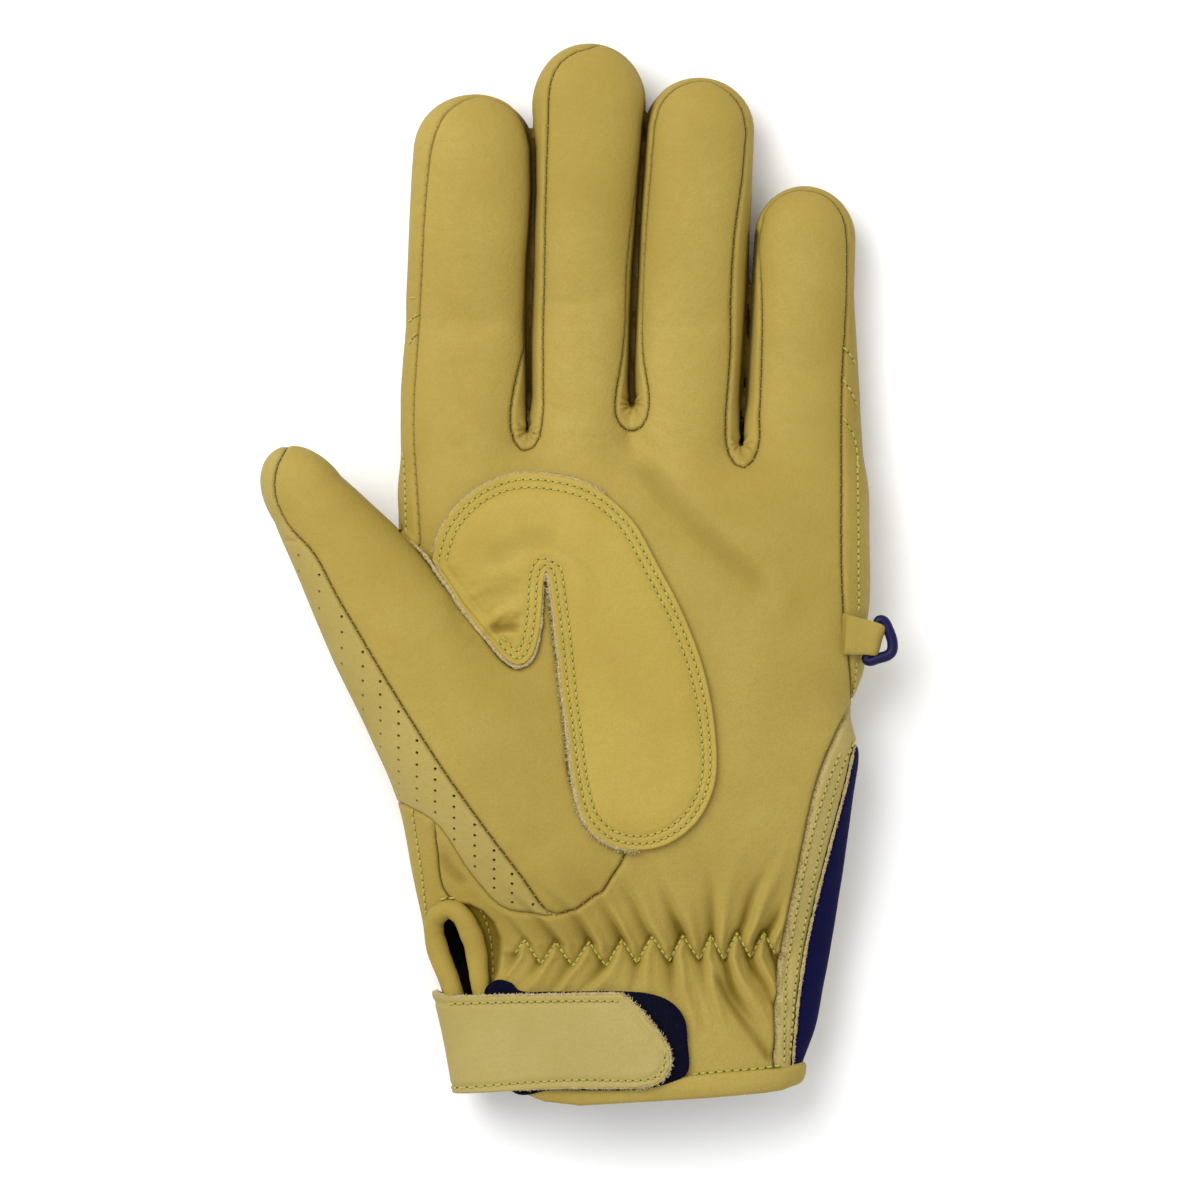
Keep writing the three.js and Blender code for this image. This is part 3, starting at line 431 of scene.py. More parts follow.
def smooth_path(points, step, closed=False):
    """A smooth curve through the points, cut into equal steps."""
    p = np.array(points, float)
    count = len(p)
    if closed:
        p = np.vstack([p[-3:], p, p[:4]])
    knots = np.concatenate([[0], np.cumsum(np.sqrt(np.linalg.norm(np.diff(p, axis=0), axis=1)))])
    ends = (knots[3], knots[3 + count]) if closed else (knots[0], knots[-1])
    fine = np.linspace(*ends, 24 * count)
    dense = np.stack([curve_value(knots, p[:, c], fine) for c in range(p.shape[1])], 1)
    length = lengths_of(dense)
    at = np.linspace(0, length[-1], max(int(round(length[-1] / step)), 2) + 1)
    even = places_on(dense, length, at)
    return even[:-1] if closed else even


def plan_distance(points, line, reach=8.0, closed=False):
    """Distance in plan to a line, or how far inside a closed one, below zero outside."""
    xy = points[:, :2]
    near = np.all((xy > line.min(0) - reach) & (xy < line.max(0) + reach), axis=1)
    p = xy[near]
    starts = line if closed else line[:-1]
    ends = np.roll(line, -1, axis=0) if closed else line[1:]
    best = np.full(len(p), reach ** 2)
    odd = np.zeros(len(p), bool)
    for a, b in zip(starts, ends):
        run = b - a
        t = np.clip(((p - a) @ run) / (run @ run), 0, 1)
        dx = p[:, 0] - a[0] - t * run[0]
        dy = p[:, 1] - a[1] - t * run[1]
        best = np.minimum(best, dx * dx + dy * dy)
        if closed and run[1]:
            crosses = (a[1] > p[:, 1]) != (b[1] > p[:, 1])
            odd ^= crosses & (p[:, 0] < a[0] + (p[:, 1] - a[1]) * run[0] / run[1])
    out = np.full(len(xy), float(-reach if closed else reach))
    out[near] = np.sqrt(best) * (np.where(odd, 1, -1) if closed else 1)
    return out


def inside(points, line, reach=40.0):
    return plan_distance(points, line, reach=reach, closed=True)


def smooth_min(a, b, k):
    h = np.maximum(k - np.abs(a - b), 0) / k
    return np.minimum(a, b) - h * h * k / 4


def smooth_max(a, b, k):
    return -smooth_min(-a, -b, k)


def tube_distance(points, rows, power, tip=None, base=None):
    """Signed distance to a body lofted through sections, with rounded ends."""
    y = points[:, 1]
    left, right, low, high = (curve_value(rows[:, 0], rows[:, c], y) for c in range(1, 5))
    half = (right - left) / 2
    rise = (high - low) / 2
    s = np.abs(points[:, 0] - (left + right) / 2) / half
    t = np.abs(points[:, 2] - (low + high) / 2) / rise
    r = np.maximum((s ** power + t ** power) ** (1 / power), 1e-3)
    past = np.zeros_like(y)
    along = np.zeros_like(y)
    for end, last in ((tip, rows[-1, 0]), (base, rows[0, 0])):
        if end is not None:
            beyond = np.maximum((y - last) / (end - last), 0)
            past += beyond
            along += beyond / abs(end - last)
    f = np.sqrt(r * r + past * past)
    slope = ((s / r) ** (power - 1) / half) ** 2 + ((t / r) ** (power - 1) / rise) ** 2
    return (f - 1) * f / np.sqrt(r * r * slope + along * along + 1e-9)


def in_box(points, rows, ends, margin=12):
    """Whether points lie in a tube's box, with a margin."""
    low = (rows[:, 1].min() - margin, min(rows[0, 0], *ends) - margin)
    high = (rows[:, 2].max() + margin, max(rows[-1, 0], *ends) + margin)
    return np.all((points[:, :2] > low) & (points[:, :2] < high), axis=1)


def thumb_place(points):
    """Points in the thumb's own frame, along its axis."""
    c, s = math.cos(THUMB_LEAN), math.sin(THUMB_LEAN)
    dx = points[:, 0] - THUMB_FOOT[0]
    dy = points[:, 1] - THUMB_FOOT[1]
    return np.stack([c * dx + s * dy, c * dy - s * dx, points[:, 2]], 1)


def hand_distance(points):
    """Signed distance to the outside of the whole glove."""
    far = 30.0
    fingers = np.full(len(points), far)
    for tip, rows in FINGERS.values():
        base = rows[0, 0] - FINGER_ROOT
        near = in_box(points, rows, (tip, base))
        found = tube_distance(points[near], rows, FINGER_POWER, tip, base)
        fingers[near] = np.minimum(fingers[near], found)
    palm = tube_distance(points, PALM, PALM_POWER, tip=PALM_END)
    hand = smooth_min(palm, fingers, FINGER_BLEND)
    for cleft in CLEFTS:
        line = np.array(cleft)
        slot = np.maximum(
            plan_distance(points, line, reach=10) - CLEFT_RADIUS, CLEFT_LOW_Z - points[:, 2]
        )
        hand = smooth_max(hand, -slot, CLEFT_FILLET)
    own = thumb_place(points)
    near = in_box(own, THUMB, THUMB_ENDS)
    thumb = np.full(len(points), far)
    thumb[near] = tube_distance(own[near], THUMB, THUMB_POWER, *reversed(THUMB_ENDS))
    hand = smooth_min(hand, thumb, np.interp(points[:, 1], *THUMB_BLEND))
    return smooth_max(hand, -points[:, 2], FLOOR_BLEND)


def gradient(points):
    """Unit vectors square to the surface."""
    out = np.empty_like(points)
    for axis, shift in enumerate(SLOPE_REACH * np.eye(3)):
        out[:, axis] = hand_distance(points + shift) - hand_distance(points - shift)
    return out / np.maximum(np.linalg.norm(out, axis=1), 1e-9)[:, None]


def onto_skin(points, rounds=3):
    for _ in range(rounds):
        points = points - hand_distance(points)[:, None] * gradient(points)
    return points


def skin_top(xy):
    """Points of the skin straight above places in plan, or on its side next to them."""
    points = np.column_stack([xy, np.full(len(xy), ABOVE_Z)])
    for _ in range(40):
        points[:, 2] -= np.clip(hand_distance(points), -2, 6) * 0.8
        points[:, 2] = np.maximum(points[:, 2], SIDE_Z)
    missed = hand_distance(points) > 0.1
    points[missed] = onto_skin(points[missed], 4)
    return points


def surface_net(low, high, step):
    """Triangles of the skin on a grid, one corner for each cell that it crosses."""
    axes = [np.arange(low[i], high[i] + step, step) for i in range(3)]
    shape = tuple(len(a) for a in axes)
    values = np.empty(shape)
    for i, x in enumerate(axes[0]):
        yy, zz = np.meshgrid(axes[1], axes[2], indexing="ij")
        slab = np.column_stack([np.full(yy.size, x), yy.ravel(), zz.ravel()])
        values[i] = hand_distance(slab).reshape(yy.shape)
    within = values < 0
    corner = [(i, j, k) for i in (0, 1) for j in (0, 1) for k in (0, 1)]
    cut = tuple(n - 1 for n in shape)

    def shifted(array, offset):
        return array[tuple(slice(o, o + n) for o, n in zip(offset, cut))]

    count = sum(shifted(within, c).astype(int) for c in corner)
    mixed = (count > 0) & (count < 8)
    cells = np.argwhere(mixed)
    ids = np.full(cut, -1)
    ids[mixed] = np.arange(len(cells))
    total = np.zeros((len(cells), 3))
    hits = np.zeros(len(cells))
    for a in corner:
        for b in corner:
            if sum(b) - sum(a) != 1 or any(q < p for p, q in zip(a, b)):
                continue
            va = values[tuple((cells + a).T)]
            vb = values[tuple((cells + b).T)]
            crossed = (va < 0) != (vb < 0)
            share = np.where(crossed, va / np.where(crossed, va - vb, 1), 0)
            place = np.array(a) + share[:, None] * (np.array(b) - np.array(a))
            total += place * crossed[:, None]
            hits += crossed
    points = np.array(low) + (cells + total / hits[:, None]) * step
    quads = []
    for axis in range(3):
        u, v = (axis + 1) % 3, (axis + 2) % 3
        first = [slice(1, -1)] * 3
        second = [slice(1, -1)] * 3
        first[axis] = slice(0, -1)
        second[axis] = slice(1, None)
        a, b = within[tuple(first)], within[tuple(second)]
        spots = np.argwhere(a != b) + [0 if i == axis else 1 for i in range(3)]
        leaving = a[a != b]
        ring = []
        for du, dv in ((-1, -1), (0, -1), (0, 0), (-1, 0)):
            cell = spots.copy()
            cell[:, u] += du
            cell[:, v] += dv
            ring.append(ids[tuple(cell.T)])
        quad = np.stack(ring, 1)
        quads.append(np.where(leaving[:, None], quad, quad[:, ::-1]))
    quads = np.vstack(quads)
    quads = quads[(quads >= 0).all(1)]
    across = np.linalg.norm(points[quads[:, 0]] - points[quads[:, 2]], axis=1)
    other = np.linalg.norm(points[quads[:, 1]] - points[quads[:, 3]], axis=1)
    pick = (across <= other)[:, None, None]
    halves = np.where(
        pick,
        quads[:, [[0, 1, 2], [0, 2, 3]]],
        quads[:, [[0, 1, 3], [1, 2, 3]]],
    )
    return points, halves.reshape(-1, 3)


def edges_of(tris):
    """Each edge once, and for each triangle the numbers of its three edges."""
    pairs = np.sort(tris[:, [[0, 1], [1, 2], [2, 0]]].reshape(-1, 2), axis=1)
    key = pairs[:, 0].astype(np.int64) * (tris.max() + 1) + pairs[:, 1]
    _, first, back = np.unique(key, return_index=True, return_inverse=True)
    return pairs[first], back.reshape(-1, 3)


def cut_edges(data, tris, share_of):
    """Puts a corner on each edge where share_of gives a share, and divides the triangles."""
    edges, of_tri = edges_of(tris)
    share = share_of(data[edges[:, 0]], data[edges[:, 1]])
    cut = ~np.isnan(share)
    number = np.full(len(edges), -1)
    number[cut] = len(data) + np.arange(cut.sum())
    a, b = data[edges[cut, 0]], data[edges[cut, 1]]
    data = np.vstack([data, a + (b - a) * share[cut, None]])
    mids = number[of_tri]
    count = (mids >= 0).sum(1)

    def divided(case, turn, *pieces):
        # A triangle's corners are 0 to 2, the new ones on the edges after them 3 to 5
        corners = np.hstack([np.roll(tris, -turn, axis=1), np.roll(mids, -turn, axis=1)])[case]
        return [corners[:, piece] for piece in pieces]

    out = [tris[count == 0]]
    for turn in range(3):
        new = np.roll(mids, -turn, axis=1) >= 0
        out += divided((count == 1) & new[:, 0], turn, (0, 3, 2), (3, 1, 2))
        out += divided(
            (count == 2) & new[:, 0] & new[:, 1], turn, (3, 1, 4), (0, 3, 4), (0, 4, 2)
        )
    out += divided(count == 3, 0, (0, 3, 5), (3, 1, 4), (5, 4, 2), (3, 4, 5))
    return data, np.vstack(out)


def cut_level(data, tris, column, level, snap=0.07):
    """Cuts the mesh along the line where a column has this value."""
    value = data[:, column]
    value[np.abs(value - level) < snap] = level

    def share_of(a, b):
        fa, fb = a[:, column] - level, b[:, column] - level
        crossed = fa * fb < 0
        return np.where(crossed, fa / np.where(crossed, fa - fb, 1), np.nan)

    return cut_edges(data, tris, share_of)


def refine(data, tris, length, wanted):
    """Halves the edges longer than a length, where the middle of the edge is wanted."""
    def share_of(a, b):
        long = np.linalg.norm(a[:, :3] - b[:, :3], axis=1) > length
        return np.where(long & wanted((a + b) / 2), 0.5, np.nan)

    return cut_edges(data, tris, share_of)


def part_of(data, tris, keep):
    """The kept triangles with their own corners."""
    tris = tris[keep]
    used, back = np.unique(tris, return_inverse=True)
    return data[used], back.reshape(-1, 3)


def border_edges(tris):
    """Directed edges that only one triangle uses."""
    directed = tris[:, [[0, 1], [1, 2], [2, 0]]].reshape(-1, 2)
    edges, of_tri = edges_of(tris)
    count = np.bincount(of_tri.ravel(), minlength=len(edges))
    return directed[count[of_tri.ravel()] == 1]


def tree_of(places):
    tree = KDTree(len(places))
    for i, place in enumerate(places):
        tree.insert(place, i)
    tree.balance()
    return tree


def distance_to_edges(points, edges, where, reach):
    """Distance from each point to the nearest of some edges."""
    tree = tree_of(where)
    ends = {}
    for a, b in edges:
        ends.setdefault(a, []).append(b)
        ends.setdefault(b, []).append(a)
    nearest = np.empty(len(points), int)
    best = np.empty(len(points))
    for i, p in enumerate(points):
        _, nearest[i], best[i] = tree.find(p)
    most = 3
    table = np.repeat(np.arange(len(where))[:, None], most, axis=1)
    for a, found in ends.items():
        table[a, :min(len(found), most)] = found[:most]
    close = best < reach
    p, n = points[close], nearest[close]
    result = best[close] ** 2
    for c in range(most):
        a, b = where[n], where[table[n, c]]
        run = b - a
        length = np.maximum((run * run).sum(1), 1e-9)
        t = np.clip(((p - a) * run).sum(1) / length, 0, 1)
        result = np.minimum(result, ((p - a - t[:, None] * run) ** 2).sum(1))
    best[close] = np.sqrt(result)
    return np.minimum(best, reach)


lattice = np.random.RandomState(NOISE_SEED).rand(NOISE_CELLS, NOISE_CELLS, NOISE_CELLS) * 2 - 1


def noise(points, size):
    """Smooth noise from -1 to 1, with lumps of about this size."""
    p = points / size
    base = np.floor(p).astype(int)
    t = p - base
    t = t * t * (3 - 2 * t)
    total = np.zeros(len(points))
    for i in (0, 1):
        for j in (0, 1):
            for k in (0, 1):
                weight = np.abs(1 - i - t[:, 0]) * np.abs(1 - j - t[:, 1]) * np.abs(1 - k - t[:, 2])
                spot = (base + (i, j, k)) % NOISE_CELLS
                total += weight * lattice[tuple(spot.T)]
    return total


def smooth_step(value, low, high):
    t = np.clip((value - low) / (high - low), 0, 1)
    return t * t * (3 - 2 * t)


def uneven(points, amount, size):
    """The points, moved about a little."""
    return points + amount * np.stack([noise(points + k, size) for k in (0, 20, 40)], 1)


def skewed(turns, skew):
    """From 0 at whole even turns to 1 between them, rising faster than it falls."""
    phase = np.pi * turns
    return (1 - np.cos(phase + skew * (1 - np.cos(phase)))) / 2


def gathers(points):
    """Height of the wrist's gathers: folds between the turns of the zigzag stitches."""
    x, y = points[:, 0], points[:, 1]
    up = y - ZIGZAG_MIDDLE
    lean = np.where(up > 0, np.interp(x, *LEAN_UP), np.interp(x, *LEAN_DOWN))
    wander = 0.8 * noise(points, 8) * np.clip(np.abs(up) / 6, 0, 1)
    from_x = x + wander - lean * np.maximum(np.abs(up) - 1.5, 0)
    turns = np.interp(from_x, ZIGZAG[:, 0], np.arange(len(ZIGZAG)))
    strong = 1 + 0.45 * noise(points * (1, 0.25, 1) + 7, 6)
    fade_up = np.exp(-(np.maximum(up, 0) / np.interp(x, *REACH_UP)) ** 1.7)
    fade_down = np.exp(-(np.maximum(-up, 0) / np.interp(x, *REACH_DOWN)) ** 1.7)
    over = skewed(turns - 1, 0.7) ** 0.75 * fade_up
    left_share = np.interp(x, (-14, 2), (0.45, 1))
    under = skewed(turns, 0.6) ** 0.75 * fade_down
    line_y = np.interp(x, ZIGZAG[:, 0], ZIGZAG[:, 1])
    above = smooth_step(y - line_y, -0.8, 0.8)
    sides = smooth_step(x, -20, -14) * (1 - smooth_step(x, 45, 49))
    height = above * left_share * (1.3 * over - 0.75 * fade_up)
    height += (1 - above) * (under - 0.65 * fade_down)
    line = plan_distance(points, ZIGZAG, reach=5)
    channel = np.exp(-(line / 0.75) ** 2) * 0.5
    return (GATHER_DEPTH * strong * height - channel) * sides


def puckers(points):
    """Small folds that run out from the dark end of each cleft."""
    height = np.zeros(len(points))
    for (x, y), *_ in CLEFTS:
        away = np.hypot(points[:, 0] - x, points[:, 1] - y)
        turn = np.arctan2(points[:, 1] - y, points[:, 0] - x)
        ring = np.exp(-((away - 1.7) / 0.9) ** 2)
        height += 0.3 * ring * np.cos(7 * turn + 1.5 * np.sin(2 * turn + x))
    return height


def recess(points):
    """1 in the sunk strip beside the vent's roll, 0 outside it."""
    return smooth_step(plan_distance(points, RECESS, closed=True), -0.5, 1.5)


def crease_share(points, way, width):
    """1 along a crease's way, fading towards its sides and its ends."""
    line = smooth_path(way, 2)
    start, end = (np.linalg.norm(points[:, :2] - line[i], axis=1) for i in (0, -1))
    fade_length = min(2.5 * width, 0.4 * lengths_of(line)[-1])
    fade = smooth_step(np.minimum(start, end), 0, fade_length)
    away = plan_distance(points, line, reach=3.2 * width)
    return fade * np.exp(-(away / width) ** 2)


def fold_shade(points, normals):
    """How much painted shade darkens the leather in its deep folds, creases and the vent's recess,
    from 0 to 1.
    """
    depth = -gathers(points) / (0.62 * GATHER_DEPTH)
    for way, deep, width in CREASES:
        if deep > 0:
            narrow = width < WIDE_CREASE
            most = NARROW_SHADE * deep if narrow else WIDE_SHADE * min(deep, 1)
            depth = np.maximum(depth, most * crease_share(points, way, width))
    # The vent's sunk recess gets painted shade too
    shade = np.maximum(np.clip(depth, 0, 1), recess(points))
    return shade * smooth_step(normals[:, 2], 0.1, 0.5)


def relief(points, normals):
    """Height of the leather's folds, creases and small unevenness over the plain form."""
    upper = smooth_step(normals[:, 2], 0.1, 0.5)
    height = gathers(points) * upper
    bent = points + 0.9 * np.stack([noise(points, 6), noise(points + 40, 6), np.zeros(len(points))], 1)
    for way, depth, width in CREASES:
        height -= depth * upper * crease_share(bent, way, width)
    height -= RECESS_DEPTH * recess(points) * upper
    from_ring = np.linalg.norm(points - RING_REST, axis=1)
    height -= RING_DENT * np.exp(-(from_ring / RING_DENT_REACH) ** 2)
    height += 0.22 * noise(points, 17) + 0.1 * noise(points + 90, 7) + puckers(points)
    crumple = np.exp(-(plan_distance(points, CRUMPLE, reach=16) / 7) ** 2)
    height += 0.22 * crumple * noise(points * (1, 2.2, 1), 3)
    return height


skin_points, skin_tris = surface_net(NET_LOW, NET_HIGH, STEP)
skin_points = onto_skin(skin_points, 2)


# Outlines of the panels in plan, and how far inside each of them a point lies
def outline(*names, extra=()):
    """A smooth closed outline from seams one after the other."""
    lines = [smooth_path(SEAM[name], 2.5) for name in names]
    return np.vstack(lines + ([np.array(extra, float)] if extra else []))


PALM_OUTLINE = outline(
    "cuff_left", "index_outer", "index_middle", "middle_tip", "middle_ring", "ring_tip",
    "ring_little", "little_outer", "placket_inner",
)
THUMB_FRONT_OUTLINE = outline("thumb_inner", "thumb_outer")
THUMB_STRIP_OUTLINE = outline(
    "strip_lower", extra=((-85, -53.1), (-85, 45), (-60, 45), (-41.4, 10.4))
)
THUMB_FREE_OUTLINE = np.array(
    ((-85, 45), (-47, 45), (-47, 15), (-41.2, 7), (-41, -52), (-85, -52)), float
)
PLACKET_OUTLINE = outline(
    "placket_inner", "placket_outer", extra=((70, -38), (70, -32.5), (62.9, -30.4), (62.5, -28))
)
GUSSET_OUTLINE = outline("placket_outer", extra=((80, -36), (80, -FAR)))


def box_field(points, left, right, low, high):
    return np.minimum.reduce([
        points[:, 0] - left, right - points[:, 0], points[:, 1] - low, high - points[:, 1],
    ])


def panel_fields(points):
    """How far inside each panel's region a point is, in the order in which they claim."""
    z = points[:, 2]
    fields = {
        "thumb_front": np.minimum(inside(points, THUMB_FRONT_OUTLINE), z - THUMB_SEAM_Z),
        "thumb_back": np.maximum(
            np.minimum(inside(points, THUMB_STRIP_OUTLINE), z - STRIP_LOW_Z),
            inside(points, THUMB_FREE_OUTLINE),
        ),
        "side_placket": np.minimum(inside(points, PLACKET_OUTLINE), z - SIDE_SEAM_Z),
        "stretch_gusset": np.minimum(inside(points, GUSSET_OUTLINE), z - SIDE_SEAM_Z),
        "palm_panel": np.minimum(inside(points, PALM_OUTLINE), z - FINGER_SEAM_Z),
    }
    for name, limits in FOURCHETTES.items():
        fields[name] = np.minimum(box_field(points, *limits), z - FOURCHETTE_LOW_Z)
    return fields


def mouth_field(points):
    """How far a point is on the hand's side of the cuff's edge."""
    return points[:, 1] - np.interp(points[:, 0], MOUTH[:, 0], MOUTH[:, 1]) - MOUTH_TRIM


VENT_LINE = smooth_path(VENT_PATH, 1.5)
VENT_OUTLINE = np.vstack([(VENT_LINE[0][0], -FAR), VENT_LINE, (VENT_LINE[-1][0], -FAR)])


def vent_field(points):
    return np.minimum(inside(points, VENT_OUTLINE, 12), points[:, 2] - VENT_LOW_Z)


# The panels: cut from the skin along the seams, each with edges turned into the seams
fields = panel_fields(skin_points)
PANEL_NAMES = list(fields) + ["back_panel"]
skin = np.column_stack([
    skin_points, *fields.values(), mouth_field(skin_points), vent_field(skin_points),
])
tris = skin_tris
MOUTH_COLUMN = 3 + len(fields)
VENT_COLUMN = MOUTH_COLUMN + 1
for column in range(3, VENT_COLUMN + 1):
    skin, tris = cut_level(skin, tris, column, 0)
middle = skin[tris].mean(1)
keep = (middle[:, MOUTH_COLUMN] > 0) & (middle[:, VENT_COLUMN] < 0)
skin, tris = part_of(skin, tris, keep)


def in_fine_zone(middle):
    found = np.zeros(len(middle), bool)
    for (left, low), (right, high) in FINE_ZONES:
        x, y, z = middle[:, :3].T
        found |= (x > left) & (x < right) & (y > low) & (y < high) & (z > FINE_LOW_Z)
    return found


def hole_places():
    """Middles of the perforations, column by column down from the thumb's seam."""
    places = []
    for x, pitch in HOLE_COLUMNS:
        y = np.arange(4, -80, -0.1)
        column = np.column_stack([np.full(len(y), x), y])
        room = np.minimum(
            inside(column, THUMB_STRIP_OUTLINE), -inside(column, THUMB_FRONT_OUTLINE)
        )
        free = y[room > HOLE_MARGIN]
        places += [(x, y) for y in np.arange(free[0], free[-1], -pitch)]
    at = skin_top(np.array(places))
    return at[(at[:, 2] > HOLE_LOW_Z) & (gradient(at)[:, 2] > 0.12)]


holes = hole_places()
hole_tree = tree_of(holes)


def hole_distance(points):
    low, high = holes.min(0) - HOLE_REACH, holes.max(0) + HOLE_REACH
    out = np.full(len(points), HOLE_REACH)
    near = ((points > low) & (points < high)).all(1)
    out[near] = [min(hole_tree.find(p)[2], HOLE_REACH) for p in points[near]]
    return out


skin, tris = refine(skin, tris, FINE_EDGE, in_fine_zone)
for length in HOLE_EDGES:
    skin, tris = refine(skin, tris, length, lambda m: hole_distance(m[:, :3]) < 1)
skin = np.column_stack([skin, hole_distance(skin[:, :3])])
skin, tris = cut_level(skin, tris, skin.shape[1] - 1, HOLE_RADIUS, snap=0.03)
skin, tris = part_of(skin, tris, skin[tris, -1].mean(1) > HOLE_RADIUS)


def labels_of(skin, tris):
    middle = skin[tris].mean(1)
    label = np.full(len(tris), len(PANEL_NAMES) - 1)
    for number in reversed(range(len(fields))):
        label[middle[:, 3 + number] > 0] = number
    return label


def seam_distance(skin, tris):
    """Distance from each corner to the nearest line where two panels meet."""
    label = labels_of(skin, tris)
    edges, of_tri = edges_of(tris)
    seen = np.full((len(edges), 2), -1)
    for slot, order in enumerate((1, -1)):
        seen[of_tri.ravel()[::order], slot] = np.repeat(label, 3)[::order]
    sewn = seen[:, 0] != seen[:, 1]
    y = skin[edges, 1].mean(1)
    for *_, end in FOURCHETTES.values():
        sewn &= (np.abs(y - end) > 0.05) | (seen.max(1) < len(PANEL_NAMES) - 1)
    ids, back = np.unique(edges[sewn], return_inverse=True)
    return distance_to_edges(skin[:, :3], back.reshape(-1, 2), skin[ids, :3], SEAM_REACH)


skin = np.column_stack([skin, seam_distance(skin, tris)])
AWAY = skin.shape[1] - 1
for level in SEAM_LINES:
    skin, tris = cut_level(skin, tris, AWAY, level, snap=0.05)
label = labels_of(skin, tris)
points = onto_skin(skin[:, :3], 1)
normals = gradient(points)
height = relief(points, normals)
away = skin[:, AWAY]


def turned_edge(away, depth=0.8, width=1.3):
    """How far a panel's edge turns down into its seam."""
    return depth * (1 - np.clip(away / width, 0, 1)) ** 2


# Meshes and their materials
def add_object(name, verts, faces, materials, indices=None, slot=None, body="glove",
               stands_for=(), columns=None, limit=None):
    """A smooth mesh object from arrays in millimetres, riding on a body."""
    mesh = bpy.data.meshes.new(name)
    faces = faces.tolist() if hasattr(faces, "tolist") else faces
    mesh.from_pydata((verts * MM).tolist(), [], faces)
    for material in materials:
        mesh.materials.append(material)
    if indices is not None:
        mesh.polygons.foreach_set("material_index", np.asarray(indices, np.int32))
    for key, values in (columns or {}).items():
        attribute = mesh.attributes.new(key, "FLOAT", "POINT")
        attribute.data.foreach_set("value", np.asarray(values, np.float32))
    mesh.update()
    obj = bpy.data.objects.new(name, mesh)
    bpy.context.scene.collection.objects.link(obj)
    if limit and len(mesh.polygons) > limit:
        thinner = obj.modifiers.new("thinner", "DECIMATE")
        thinner.ratio = limit / len(mesh.polygons)
        made = obj.evaluated_get(bpy.context.evaluated_depsgraph_get())
        obj.data = bpy.data.meshes.new_from_object(made)
        obj.modifiers.clear()
    obj.data.polygons.foreach_set("use_smooth", np.full(len(obj.data.polygons), True))
    obj.data.set_sharp_from_angle(angle=SHARP_ANGLE)
    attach(obj, body)
    if stands_for:
        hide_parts(*stands_for)


def leather_shares(count, **given):
    """How much of each place takes the seam's dark line with its painted shade, the painted shade of
    the folds, and the raw edge, for the leather's colour.
    """
    return {key: given.get(key, np.zeros(count)) for key in ("seam_line_and_shade", "fold", "raw")}


def walled(outer, inner, tris):
    """A closed wall between an outer and an inner sheet of the same triangles."""
    border = border_edges(tris)
    n = len(outer)
    rim = np.vstack([
        np.column_stack([border[:, 1], border[:, 0], border[:, 0] + n]),
        np.column_stack([border[:, 1], border[:, 0] + n, border[:, 1] + n]),
    ])
    faces = np.vstack([tris, tris[:, ::-1] + n, rim])
    kinds = np.repeat((0, 1, 2), (len(tris), len(tris), len(rim)))
    return np.vstack([outer, inner]), faces, kinds


def set_inputs(tree, made, values):
    for key, value in values.items():
        if isinstance(value, bpy.types.NodeSocket):
            tree.links.new(value, made.inputs[key])
        else:
            made.inputs[key].default_value = value


def node(tree, kind, values, **settings):
    made = tree.nodes.new(kind)
    for key, value in settings.items():
        setattr(made, key, value)
    set_inputs(tree, made, values)
    return made


def new_material(name):
    material = bpy.data.materials.new(name)
    material.use_nodes = True
    tree = material.node_tree
    tree.nodes.clear()
    shader = tree.nodes.new("ShaderNodeBsdfPrincipled")
    output = tree.nodes.new("ShaderNodeOutputMaterial")
    tree.links.new(shader.outputs[0], output.inputs[0])
    place = tree.nodes.new("ShaderNodeTexCoord").outputs["Object"]
    return material, tree, shader, place


def mix(tree, share, a, b):
    return node(tree, "ShaderNodeMix", {0: share, 6: a, 7: b}, data_type="RGBA").outputs[2]


def ramp(tree, value, low, high, out_low=0.0, out_high=1.0):
    limits = {0: value, 1: low, 2: high, 3: out_low, 4: out_high}
    return node(tree, "ShaderNodeMapRange", limits).outputs[0]


def cloud(tree, place, scale, detail=3.0, roughness=0.55):
    values = {"Vector": place, "Scale": scale, "Detail": detail, "Roughness": roughness}
    return node(tree, "ShaderNodeTexNoise", values).outputs[0]


def bump(tree, height, strength, distance, normal=None):
    values = {"Height": height, "Strength": strength, "Distance": distance}
    if normal:
        values["Normal"] = normal
    return node(tree, "ShaderNodeBump", values).outputs[0]


def share_of(tree, name):
    return node(tree, "ShaderNodeAttribute", {}, attribute_name=name).outputs["Fac"]


